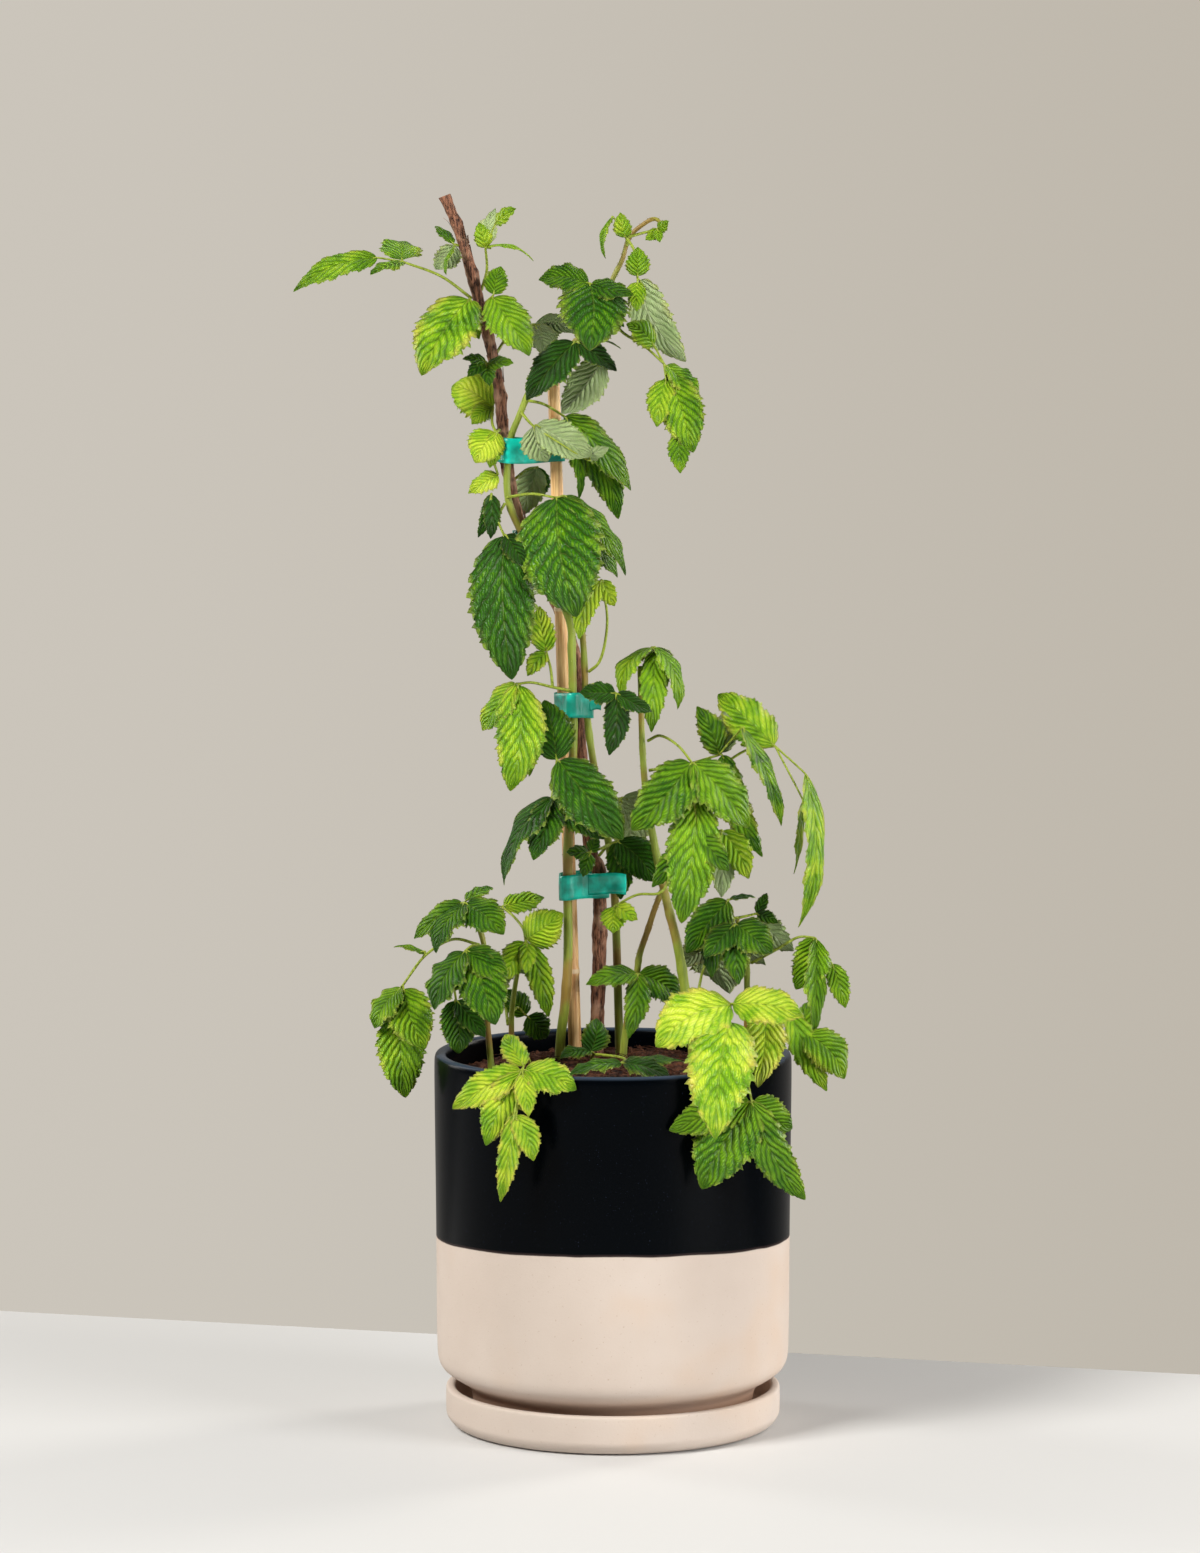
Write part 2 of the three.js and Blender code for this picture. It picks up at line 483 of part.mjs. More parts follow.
    [[-43, -85, 191.5], [-18, -92, 184], 19, 'frontUp', 1],
    [[-45, -87, 190.5], [-62, -94, 156], 18, 'front', 1],
    [[-43.5, -82, 193], [-53, -64, 208], 12, 'frontUp', 1],
    [[-44, -88, 190], [-41, -97, 171], 11, 'front', 1],
    [[-47, -95, 171], [-38.5, -98, 149], 13, 'front', 1],
    [[-48, -95.5, 171], [-55, -96, 128], 11, 'front', 1]]],
  ['leaf_far_left_low', [[-66.5, -15.5, 244], [-80, -10, 246], [-94, -5, 237], [-105, -2, 222]], [
    [[-106, -3, 221], [-121, -9, 203], 20, 'leftUp', 2],
    [[-104.5, -5, 220.5], [-94, -16, 192], 23, 'front', 2],
    [[-106, -1, 211], [-104, -3, 165], 24, 'front', 3],
    [[-94, -5, 238], [-109, -4, 243], 6, 'up', 1]]],
  ['leaf_left_top', [[-71.3, -15.5, 264.5], [-74, -16, 265]], [
    [[-74, -17, 264.5], [-90, -27, 243.5], 23, 'leftUp', 2],
    [[-73, -18, 265], [-54, -30, 252], 21, 'frontUp', 2],
    [[-75, -15, 265], [-101, -9, 247.5], 13, 'frontUp', 1],
    [[-73, -15, 266], [-60, -3, 273], 9, 'up', 1]]],
  ['leaf_left_round', [[-44.6, -1, 240.5], [-43.5, -6, 245]], [
    [[-43, -6.5, 245.5], [-25.5, -11, 259], 20, 'front', 1],
    [[-44, -8, 244.5], [-54, -15, 226], 14, 'front', 1],
    [[-43, -8, 244], [-43.5, -17, 230], 9, 'front', 1],
    [[-42, -6, 243], [-32, -6, 206], 13, 'front', 1]]],
  ['leaf_left_round', [[-43.5, -6, 245], [-45, 2, 250], [-50, 12, 255], [-56, 18, 259]], [
    [[-55, 18, 259.5], [-34.5, 23, 264.5], 13, 'frontUp', 1]]],
  ['leaf_left_middle', [[-65.5, -16.8, 243.5], [-69, -24, 245], [-73, -30, 243]], [
    [[-73.5, -31, 242.5], [-91, -38, 216.5], 25, 'leftUp', 2],
    [[-72, -31, 243], [-52, -40, 231], 18, 'frontUp', 1],
    [[-72.5, -32, 242], [-58, -48, 209], 25, 'front', 2]]],
  ['leaf_left_middle', [[-69, -24, 245], [-77, -23, 236], [-79, -22, 226], [-78, -22, 217.5]], [
    [[-78.5, -22.5, 217], [-77, -21, 189.5], 18, 'front', 1],
    [[-77.5, -23, 217], [-63, -28, 200], 13, 'frontUp', 1]]],
  ['leaf_small_dark', [[-51.8, 12, 205], [-48, 17, 208], [-44, 18, 204]], [
    [[-44, 18, 204], [-54, 21, 217], 14, 'frontUp', 1],
    [[-43, 18, 203.5], [-33, 24, 191], 14, 'front', 1]]],
  ['leaf_cane_low', [[12.3, 9.4, 225], [12.5, 7, 226.5]], [
    [[13, 7, 226.5], [35, 9, 213], 19, 'frontUp', 2],
    [[12, 6, 226.5], [-13, -8, 224], 13, 'frontUp', 2],
    [[12.5, 5, 226], [7.5, -14, 198.5], 13, 'frontUp', 1]]],
  ['leaf_soil_front', [[-9, -10, 188], [-11, -12, 190]], [
    [[-11, -12, 190], [-8, -6, 206], 14, 'front', 1],
    [[-11, -12, 190], [-26, -22, 190], 11, 'up', 1]]],
  ['leaf_soil_front', [[-11, -2, 184.8], [-9, -10, 188], [2, -30, 190], [6, -46, 191], [4, -58, 191]], [
    [[4, -58, 191], [-23, -66, 188], 15, 'up', 1],
    [[5, -59, 191], [28, -64, 187], 17, 'up', 2],
    [[6, -57, 191], [35, -50, 192], 14, 'up', 1]]],
  ['leaf_back_top', [[-59, 4.6, 535], [-52, 14, 545], [-40, 24, 551]], [
    [[-39, 24.5, 551], [-18, 38, 548], 20, 'backUp', 2],
    [[-40, 25, 551], [-50, 44, 540], 16, 'backUp', 2],
    [[-39, 26, 550.5], [-32, 44, 535], 18, 'backUp', 2]]],
  ['leaf_back_centre', [[-37.5, 11.6, 428], [-30, 24, 436], [-22, 32, 440]], [
    [[-22, 32.5, 440], [-18, 46, 412], 26, 'back', 3],
    [[-21, 32, 440.5], [-2, 38, 432], 16, 'backUp', 1],
    [[-23, 33, 440], [-38, 42, 430], 16, 'backUp', 1]]],
  ['leaf_back_middle', [[-4.5, 16, 300], [0, 26, 308], [4, 36, 312]], [
    [[4, 36.5, 312], [12, 52, 284], 26, 'back', 3],
    [[5, 36, 312.5], [24, 40, 306], 17, 'backUp', 1],
    [[3, 37, 312], [-14, 44, 304], 17, 'backUp', 1]]],
  ['leaf_back_left', [[-52.8, 11.6, 200], [-56, 28, 222], [-58, 42, 230]], [
    [[-58, 42.5, 230], [-62, 66, 208], 26, 'backUp', 3],
    [[-57, 42, 230.5], [-38, 54, 222], 17, 'backUp', 1],
    [[-59, 42, 230], [-80, 44, 222], 17, 'backUp', 1]]],
  ['leaf_back_right', [[40.5, 7.4, 205], [46, 26, 228], [52, 40, 236]], [
    [[52, 40.5, 236], [60, 66, 212], 27, 'backUp', 3],
    [[53, 40, 236.5], [78, 42, 228], 18, 'backUp', 1],
    [[51, 41, 236], [34, 56, 226], 18, 'backUp', 1]]],
];

// A leaflet is a lens-shaped plate: a cambered midrib, two or three stations across it, pointed at both ends.
const wideStations = [[0.2, 0.74], [0.48, 1], [0.78, 0.58]];
const narrowStations = [[0.3, 0.95], [0.7, 0.72]];
const wideFrom = 24;
const foldAngle = 0.2;
function leaflet([base, tip, width, face, arch]) {
  const start = new THREE.Vector3(...base);
  const end = new THREE.Vector3(...tip);
  const along = end.clone().sub(start).normalize();
  const normal = new THREE.Vector3(...faces[face]);
  normal.addScaledVector(along, -normal.dot(along)).normalize();
  const side = new THREE.Vector3().crossVectors(along, normal);
  const stations = width < wideFrom ? narrowStations : wideStations;
  const positions = [...start.toArray()];
  for (const [s, share] of stations) {
    const middle = start.clone().lerp(end, s).addScaledVector(normal, arch * 4 * s * (1 - s));
    const reach = (width / 2) * share;
    for (const sign of [-1, 1]) {
      const edge = middle.clone()
        .addScaledVector(side, sign * reach * Math.cos(foldAngle))
        .addScaledVector(normal, reach * Math.sin(foldAngle));
      positions.push(edge.x, edge.y, edge.z);
    }
    for (const sign of [1, -1]) {
      const rib = middle.clone().addScaledVector(normal, (sign * leafThickness) / 2);
      positions.push(rib.x, rib.y, rib.z);
    }
  }
  positions.push(...end.toArray());
  const index = [];
  const last = 1 + stations.length * 4;
  for (let i = 0; i < stations.length; i += 1) {
    const [left, right, top, bottom] = [1, 2, 3, 4].map((k) => k + i * 4);
    if (i === 0) index.push(0, top, left, 0, right, top, 0, left, bottom, 0, bottom, right);
    if (i === stations.length - 1) {
      index.push(last, left, top, last, top, right, last, bottom, left, last, right, bottom);
    } else {
      index.push(left, top, top + 4, left, top + 4, left + 4, top, right, right + 4, top, right + 4, top + 4);
      index.push(left, bottom + 4, bottom, left, left + 4, bottom + 4);
      index.push(bottom, right + 4, right, bottom, bottom + 4, right + 4);
    }
  }
  const geometry = new THREE.BufferGeometry();
  geometry.setAttribute('position', new THREE.BufferAttribute(new Float32Array(positions), 3));
  geometry.setIndex(index);
  return geometry;
}

// A leaf in one piece: its stalk, a bead at the stalk's end, a short stalk to each leaflet that
// stands off, and its leaflets.
function leafSolid(stalk, blades) {
  const hub = new THREE.Vector3(...stalk[stalk.length - 1]);
  const bead = new THREE.OctahedronGeometry(hubRadius);
  bead.translate(hub.x, hub.y, hub.z);
  let solid = toSolid(taperedStem(stalk, [petioleRadius, petioleRadius], 4)).add(toSolid(bead));
  for (const [base, tip, ...shape] of blades) {
    const start = new THREE.Vector3(...base);
    const along = new THREE.Vector3(...tip).sub(start).normalize();
    const seated = start.distanceTo(hub) < joinedWithin;
    const root = seated ? hub.clone().addScaledVector(along, -petioleRadius / 2) : start;
    if (!seated) {
      const into = start.clone().addScaledVector(along, 2 * joinedWithin);
      const link = [hub.toArray(), base, into.toArray()];
      solid = solid.add(toSolid(taperedStem(link, [petioleRadius, petioleRadius * 0.8], 4)));
    }
    solid = solid.add(toSolid(leaflet([root.toArray(), tip, ...shape])));
  }
  return solid;
}

const leafNodes = new Map();
for (const [name, stalk, blades] of leaves) {
  const solid = leafSolid(stalk, blades);
  leafNodes.set(name, leafNodes.has(name) ? leafNodes.get(name).add(solid) : solid);
}
for (const [name, solid] of leafNodes) {
  addNode(name, toGeometry(solid), 'leaf');
}

export default group;
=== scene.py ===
"""A young raspberry plant tied to a bamboo stake, in a two-tone stoneware pot standing in its saucer."""
import math
import bpy
import numpy as np
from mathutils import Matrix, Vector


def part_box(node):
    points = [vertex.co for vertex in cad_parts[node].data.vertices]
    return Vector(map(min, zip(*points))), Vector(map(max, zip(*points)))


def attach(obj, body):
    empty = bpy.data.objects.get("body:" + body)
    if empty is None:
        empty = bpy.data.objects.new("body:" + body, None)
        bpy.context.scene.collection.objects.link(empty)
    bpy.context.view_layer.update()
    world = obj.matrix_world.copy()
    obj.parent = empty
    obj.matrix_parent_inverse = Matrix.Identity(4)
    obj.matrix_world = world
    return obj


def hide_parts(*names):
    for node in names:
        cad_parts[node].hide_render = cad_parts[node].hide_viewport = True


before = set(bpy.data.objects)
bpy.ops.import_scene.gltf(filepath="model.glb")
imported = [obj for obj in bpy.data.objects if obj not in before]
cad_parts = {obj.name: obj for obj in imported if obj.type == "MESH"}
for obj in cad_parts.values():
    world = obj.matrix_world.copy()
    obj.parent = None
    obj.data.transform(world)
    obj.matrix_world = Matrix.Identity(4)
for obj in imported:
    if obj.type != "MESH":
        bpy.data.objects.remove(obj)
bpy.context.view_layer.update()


# ---- Table, light and camera -------------------------------------------------------------------
# A plain off-white table whose back edge runs a little away from the viewer to the left, with a
# warm grey wall behind it. One large soft light stands high on the left and a weaker one on the
# right, and two narrow ones behind draw thin bright lines down the sides of the pot.
def shader(name, roughness, specular=0.5):
    """A new material with its Principled shader; roughness and specular level are the same all over."""
    material = bpy.data.materials.new(name)
    material.use_nodes = True
    principled = material.node_tree.nodes["Principled BSDF"]
    principled.inputs["Roughness"].default_value = roughness
    principled.inputs["Specular IOR Level"].default_value = specular
    return material, principled


def node(material, kind, inputs=(), **settings):
    """Adds one node; inputs pairs a socket's name or number with a value or with another socket."""
    added = material.node_tree.nodes.new(kind)
    for key, value in settings.items():
        setattr(added, key, value)
    for key, value in dict(inputs).items():
        if isinstance(value, bpy.types.NodeSocket):
            material.node_tree.links.new(value, added.inputs[key])
        else:
            added.inputs[key].default_value = value
    return added


def math_node(material, operation, first, second=0.0, clamp=False):
    """One arithmetic step on two numbers or sockets; clamp holds the answer between 0 and 1."""
    step = node(material, "ShaderNodeMath", {0: first, 1: second}, operation=operation, use_clamp=clamp)
    return step.outputs[0]


def fade(material, value, low, high, to_low=0.0, to_high=1.0):
    """Carries value from low..high to to_low..to_high with a smooth start and end, held outside."""
    inputs = {"Value": value, "From Min": low, "From Max": high, "To Min": to_low, "To Max": to_high}
    return node(material, "ShaderNodeMapRange", inputs, interpolation_type="SMOOTHSTEP").outputs[0]


def blend_colours(material, share, first, second, mode="MIX"):
    """Mixes two colours, each a socket or (r, g, b), by a share from 0 to 1."""
    mixer = node(material, "ShaderNodeMix", data_type="RGBA", blend_type=mode)
    for number, value in ((0, share), (6, first), (7, second)):
        if isinstance(value, bpy.types.NodeSocket):
            material.node_tree.links.new(value, mixer.inputs[number])
        else:
            mixer.inputs[number].default_value = value if number == 0 else (*value, 1.0)
    return mixer.outputs[2]


def noise(material, coordinates, scale, detail=3.0, roughness=0.5):
    """Cloudy noise from 0 to 1 on the given coordinates, scale in cells per metre."""
    inputs = {"Vector": coordinates, "Scale": scale, "Detail": detail, "Roughness": roughness}
    return node(material, "ShaderNodeTexNoise", inputs).outputs[0]


def raise_surface(material, principled, height, distance, strength=1.0):
    """Bump from a height socket; distance is the height in metres of a full step."""
    bump = node(material, "ShaderNodeBump", {"Height": height, "Distance": distance, "Strength": strength})
    material.node_tree.links.new(bump.outputs[0], principled.inputs["Normal"])


def linear(red, green, blue):
    """An sRGB colour in 0..255 as linear values."""
    share = np.array([red, green, blue]) / 255.0
    curve = np.where(share <= 0.04045, share / 12.92, ((share + 0.055) / 1.055) ** 2.4)
    return tuple(float(c) for c in curve)


def add_mesh(name, points, faces, material):
    """A smooth-shaded object at the origin from an array of points and an array of quads."""
    mesh = bpy.data.meshes.new(name)
    mesh.vertices.add(len(points))
    mesh.vertices.foreach_set("co", np.ascontiguousarray(points, dtype=np.float32).ravel())
    mesh.loops.add(faces.size)
    mesh.loops.foreach_set("vertex_index", np.ascontiguousarray(faces, dtype=np.int32).ravel())
    mesh.polygons.add(len(faces))
    mesh.polygons.foreach_set("loop_start", np.arange(0, faces.size, 4, dtype=np.int32))
    mesh.polygons.foreach_set("use_smooth", np.ones(len(faces), dtype=bool))
    mesh.update(calc_edges=True)
    mesh.materials.append(material)
    piece = bpy.data.objects.new(name, mesh)
    bpy.context.scene.collection.objects.link(piece)
    return piece


scene = bpy.context.scene
scene.view_settings.view_transform = "Standard"
world = bpy.data.worlds.new("room")
scene.world = world
world.use_nodes = True
background = world.node_tree.nodes["Background"]
seen = node(world, "ShaderNodeLightPath").outputs["Is Camera Ray"]
heading = node(world, "ShaderNodeSeparateXYZ", {0: node(world, "ShaderNodeTexCoord").outputs["Generated"]})
# The camera sees a warm grey wall, a little darker to the right, and the plant is lit by a dim room.
to_right = fade(world, heading.outputs[0], -0.13, 0.16)
to_back = fade(world, heading.outputs[1], 0.1, 0.9)
wall = blend_colours(world, to_right, linear(203, 197, 187), linear(190, 183, 171))
room = blend_colours(world, to_back, (0.09, 0.087, 0.081), (0.3, 0.284, 0.262))
world.node_tree.links.new(blend_colours(world, seen, room, wall), background.inputs["Color"])

table_material, table_shader = shader("table", 0.6, 0.3)
table_shader.inputs["Base Color"].default_value = (0.59, 0.588, 0.584, 1.0)
table_corners = np.array([[-4.0, -5.0, 0], [4.0, -5.0, 0], [4.0, -0.88, 0], [-4.0, 1.28, 0]])
table = add_mesh("table", table_corners, np.array([[0, 1, 2, 3]]), table_material)


def soft_light(name, place, aim, width, height, power, colour=(1, 1, 1)):
    """A rectangular area light at place, turned to face aim."""
    lamp = bpy.data.lights.new(name, "AREA")
    lamp.shape = "RECTANGLE"
    lamp.size = width
    lamp.size_y = height
    lamp.energy = power
    lamp.color = colour
    holder = bpy.data.objects.new(name, lamp)
    step = np.array(aim) - np.array(place)
    across = math.hypot(step[0], step[1])
    holder.location = place
    holder.rotation_euler = (math.atan2(across, -step[2]), 0.0, math.atan2(step[1], step[0]) - math.pi / 2)
    scene.collection.objects.link(holder)


middle = (0.0, 0.0, 0.32)
soft_light("key", (-1.6, -1.5, 2.1), middle, 0.95, 0.95, 102, (1.0, 0.98, 0.94))
soft_light("fill", (1.8, -1.15, 0.75), middle, 1.0, 1.3, 47, (1.0, 0.99, 0.98))
soft_light("back_left", (-1.4, 0.9, 0.9), middle, 0.4, 1.2, 10, (1.0, 0.97, 0.93))
soft_light("back_right", (1.4, 0.9, 0.9), middle, 0.4, 1.2, 17, (1.0, 0.95, 0.88))

# The camera stands 2.74 m in front of the pot's axis, level with the top leaves, looking slightly down.
lens_data = bpy.data.cameras.new("camera")
lens_data.sensor_fit = "VERTICAL"
lens_data.sensor_height = 36.0
lens_data.lens = 128.0
lens_data.clip_end = 50.0
camera = bpy.data.objects.new("camera", lens_data)
camera.location = (-0.0065, -2.74, 0.587)
camera.rotation_euler = (math.radians(90.0 - 5.43), 0.0, 0.0)
scene.collection.objects.link(camera)
scene.camera = camera


# ---- Saucer ------------------------------------------------------------------------------------
# A pressed stoneware dish with a rounded rim, left unglazed: warm beige clay with fine dark specks
# and a few faint brown stains. It lies flat on the table.
mm = 0.001


def tube_faces(rows, columns, ring=False):
    """Quads of a grid that closes on itself across its columns; its two ends are closed by strips of
    quads between mirrored columns, or with ring the last row joins the first."""
    step = np.arange(columns)
    count = rows if ring else rows - 1
    here = np.arange(count)[:, None] * columns
    there = (np.arange(1, count + 1)[:, None] % rows) * columns
    after = (step + 1) % columns
    sides = np.stack([here + step, here + after, there + after, there + step], axis=-1).reshape(-1, 4)
    if ring:
        return sides
    left = np.arange(columns // 2 - 1)
    start = np.stack([left, columns - 1 - left, columns - 2 - left, left + 1], axis=-1)
    end = start[:, ::-1] + (rows - 1) * columns
    return np.concatenate([sides, start, end])


def rounded(profile, rounds=3, closed=False):
    """Cuts every corner of an outline at a quarter and three quarters of its sides, rounds times."""
    line = np.array(profile, dtype=float)
    for _ in range(rounds):
        after = np.roll(line, -1, axis=0) if closed else line[1:]
        before = line if closed else line[:-1]
        cut = np.stack([0.75 * before + 0.25 * after, 0.25 * before + 0.75 * after], axis=1).reshape(-1, 2)
        line = cut if closed else np.concatenate([line[:1], cut, line[-1:]])
    return line


def turned(profile, segments):
    """Turns (radius, height) points about the Z axis: x = r cos a, y = r sin a, z = height."""
    angle = np.arange(segments) * (2 * math.pi / segments)
    radius, height = profile[:, :1], profile[:, 1:]
    return np.stack([radius * np.cos(angle), radius * np.sin(angle), height + 0 * angle], axis=-1)


def finish(piece, cad_node):
    """Rides on the one body and stands for its CAD node, whose part it hides."""
    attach(piece, "root")
    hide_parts(cad_node)


def places_on(material):
    """Places on the object itself, in metres."""
    return node(material, "ShaderNodeTexCoord").outputs["Object"]


def product(material, first, second):
    """Two numbers or sockets multiplied."""
    return math_node(material, "MULTIPLY", first, second)


def paint(material, principled, colour):
    """Gives the shader its colour from a socket."""
    material.node_tree.links.new(colour, principled.inputs["Base Color"])


def clay_colour(material, coordinates):
    """Beige stoneware: broad cloudy tone, a few faint brown stains, and fine specks."""
    cloud = noise(material, coordinates, 18.0, 4.0)
    base = blend_colours(material, cloud, linear(182, 167, 155), linear(203, 191, 181))
    stain = fade(material, noise(material, coordinates, 11.0, 3.0, 0.6), 0.52, 0.75)
    base = blend_colours(material, product(material, stain, 0.45), base, linear(196, 166, 138))
    speck = fade(material, noise(material, coordinates, 900.0, 2.0), 0.68, 0.76)
    return blend_colours(material, product(material, speck, 0.4), base, linear(150, 118, 92))


clay_material, clay_shader = shader("raw_clay", 0.78, 0.3)
clay_place = places_on(clay_material)
paint(clay_material, clay_shader, clay_colour(clay_material, clay_place))
clay_grain = noise(clay_material, clay_place, 700.0, 4.0, 0.7)
raise_surface(clay_material, clay_shader, clay_grain, 0.00015, 0.6)

saucer_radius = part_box("saucer")[1][0]
saucer_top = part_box("saucer")[1][2]
saucer_wall = 5 * mm
saucer_floor = 6 * mm
saucer_segments = 192
centre_hole = 0.3 * mm
saucer_profile = np.array([
    [centre_hole, 0.0],
    [saucer_radius - 9 * mm, 0.0],
    [saucer_radius - 4 * mm, 0.6 * mm],
    [saucer_radius - 0.2 * mm, 5 * mm],
    [saucer_radius, 9 * mm],
    [saucer_radius, saucer_top - 3 * mm],
    [saucer_radius - 0.2 * mm, saucer_top],
    [saucer_radius - saucer_wall + 0.2 * mm, saucer_top],
    [saucer_radius - saucer_wall, saucer_top - 4 * mm],
    [saucer_radius - saucer_wall - 0.5 * mm, saucer_floor + 2 * mm],
    [saucer_radius - saucer_wall - 4 * mm, saucer_floor],
    [centre_hole, saucer_floor],
])
saucer_grid = turned(rounded(saucer_profile), saucer_segments)
wobble = 1 + 0.0012 * np.sin(3 * np.arange(saucer_segments) * (2 * math.pi / saucer_segments))
saucer_grid[..., :2] *= wobble[None, :, None]
saucer_faces = tube_faces(saucer_grid.shape[0], saucer_segments)
saucer = add_mesh("stoneware_saucer", saucer_grid.reshape(-1, 3), saucer_faces, clay_material)
finish(saucer, "saucer")


# ---- Pot ---------------------------------------------------------------------------------------
# A thrown stoneware cylinder on a narrower foot, with a drain hole. It is dipped upside down in a
# near-black blue glaze to just above its middle, which leaves the lower part as bare clay. The glaze
# runs thin over the rim and shows paler there, a band that is also a painted highlight along the rim,
# and the foot is painted warm brown towards its bottom as painted shade from the gap over the saucer.
pot_low, pot_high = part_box("pot")
rim_radius = pot_high[0]
rim_height = pot_high[2]
foot_height = pot_low[2]
glaze_line = 100.6 * mm
drain_radius = 8 * mm
pot_segments = 256
pot_profile = np.array([
    [drain_radius, foot_height],
    [69 * mm, foot_height],
    [70.4 * mm, foot_height + 1 * mm],
    [70.6 * mm, 17 * mm],
    [74 * mm, 22 * mm],
    [82 * mm, 26.5 * mm],
    [87.4 * mm, 31 * mm],
    [88.5 * mm, 40 * mm],
    [88.7 * mm, 100 * mm],
    [89.4 * mm, 165 * mm],
    [rim_radius, rim_height - 7 * mm],
    [rim_radius - 0.2 * mm, rim_height - 0.4 * mm],
    [rim_radius - 3 * mm, rim_height + 0.4 * mm],
    [rim_radius - 6 * mm, rim_height - 0.4 * mm],
    [rim_radius - 6.5 * mm, rim_height - 5 * mm],
    [82.2 * mm, 60 * mm],
    [78 * mm, 34 * mm],
    [70 * mm, 18 * mm],
    [64 * mm, 14 * mm],
    [drain_radius, 14 * mm],
])
pot_grid = turned(rounded(pot_profile, closed=True), pot_segments)
pot_faces = tube_faces(pot_grid.shape[0], pot_segments, ring=True)

pot_material, pot_shader = shader("dipped_glaze", 0.4, 0.045)
pot_place = places_on(pot_material)
pot_axes = node(pot_material, "ShaderNodeSeparateXYZ", {0: pot_place})
pot_height, pot_side = pot_axes.outputs[2], pot_axes.outputs[0]
# The dip's edge is a little higher at the front and back than at the sides, and wavy.
side_drop = product(pot_material, product(pot_material, pot_side, pot_side), 0.5)
edge_wave = product(pot_material, noise(pot_material, pot_place, 45.0, 2.0), 0.0012)
dipped_height = math_node(pot_material, "ADD", pot_height, side_drop)
dipped_height = math_node(pot_material, "ADD", dipped_height, edge_wave)
over_line = math_node(pot_material, "SUBTRACT", dipped_height, glaze_line)
glazed = fade(pot_material, over_line, -0.0003, 0.0003)
glaze_cloud = noise(pot_material, pot_place, 9.0, 3.0)
glaze_colour = blend_colours(pot_material, glaze_cloud, (0.0002, 0.0004, 0.0008), (0.0008, 0.0018, 0.003))
glaze_pin = fade(pot_material, noise(pot_material, pot_place, 1500.0, 1.0), 0.74, 0.8)
glaze_colour = blend_colours(pot_material, product(pot_material, glaze_pin, 0.25),
                             glaze_colour, linear(70, 80, 110))
# Paler band at the rim: partly glaze run thin, partly a painted highlight along the rim's edge.
rim_thin_glaze_and_highlight = fade(pot_material, pot_height, rim_height - 1.6 * mm, rim_height + 0.2 * mm, 0.0, 0.55)
glaze_colour = blend_colours(pot_material, rim_thin_glaze_and_highlight, glaze_colour, linear(72, 86, 104))
# Painted shade: the foot is tinted warm brown towards its bottom, where the gap over the saucer lies in
# shade.
foot_painted_shade = fade(pot_material, pot_height, 16 * mm, 33 * mm, 0.6, 0.0)
bare_clay = clay_colour(pot_material, pot_place)
bare_clay = blend_colours(pot_material, foot_painted_shade, bare_clay, linear(168, 118, 82))
pot_colour = blend_colours(pot_material, glazed, bare_clay, glaze_colour)
past_lip = fade(pot_material, over_line, 0.0003, 0.0016)
glaze_lip = math_node(pot_material, "SUBTRACT", glazed, past_lip, clamp=True)
pot_colour = blend_colours(pot_material, product(pot_material, glaze_lip, 0.6),
                           pot_colour, linear(58, 46, 44))
paint(pot_material, pot_shader, pot_colour)
pot_rough = fade(pot_material, glazed, 0.0, 1.0, 0.8, 0.24)
pot_material.node_tree.links.new(pot_rough, pot_shader.inputs["Roughness"])
grain_share = fade(pot_material, glazed, 0.0, 1.0, 1.0, 0.12)
pot_grain = product(pot_material, noise(pot_material, pot_place, 700.0, 4.0, 0.7), grain_share)
pot_relief = math_node(pot_material, "ADD", pot_grain, product(pot_material, glazed, 1.5))
raise_surface(pot_material, pot_shader, pot_relief, 0.00015, 0.6)
pot = add_mesh("stoneware_pot", pot_grid.reshape(-1, 3), pot_faces, pot_material)
finish(pot, "pot")


# ---- Soil --------------------------------------------------------------------------------------
# Dark red-brown coir and bark mix, mounded towards the canes. Its top is lumpy, and loose crumbs
# and fibres lie on it. Below the rim it fills the pot, so only its top is worked in detail.
def ripple(x, y, waves, seed):
    """A smooth random height, mostly from -1 to 1: a sum of sine waves, one for each wavelength, of
    random heading and phase, the n-th with a height of 1/sqrt(n)."""
    draw = np.random.default_rng(seed)
    total = np.zeros(np.broadcast(x, y).shape)
    for n, length in enumerate(waves, 1):
        heading, phase = draw.uniform(0, 2 * math.pi, 2)
        across = x * math.cos(heading) + y * math.sin(heading)
        total += np.sin(across * 2 * math.pi / length + phase) / n ** 0.5
    return total / 2.5


def soil_height(x, y):
    """Height of the soil's top in metres: a dome that falls as r^2.2, from 184 mm at the middle to
    176 mm at the wall, with lumps."""
    radius = np.hypot(x, y) / (82 * mm)
    lumps = ripple(x, y, (24 * mm, 15 * mm, 9 * mm, 6 * mm, 4.1 * mm, 3.1 * mm, 2.2 * mm), 3)
    return (184.0 - 8.0 * radius ** 2.2 + 1.1 * lumps) * mm


under_rows = np.array([[0.3, 14.5], [30, 14.5], [62.5, 14.5], [69, 19], [77, 35], [81, 62]])
top_rows, soil_segments = 90, 220
soil_rows = np.concatenate([under_rows[:, 0], np.linspace(81.8, 0.3, top_rows)]) * mm
soil_low = np.concatenate([under_rows[:, 1], np.zeros(top_rows)]) * mm
soil_angle = np.arange(soil_segments) * (2 * math.pi / soil_segments)
soil_x = soil_rows[:, None] * np.cos(soil_angle)
soil_y = soil_rows[:, None] * np.sin(soil_angle)
on_top = (np.arange(len(soil_rows)) >= len(under_rows))[:, None]
soil_z = np.where(on_top, soil_height(soil_x, soil_y), soil_low[:, None])
soil_points = np.stack([soil_x, soil_y, soil_z], axis=-1).reshape(-1, 3)


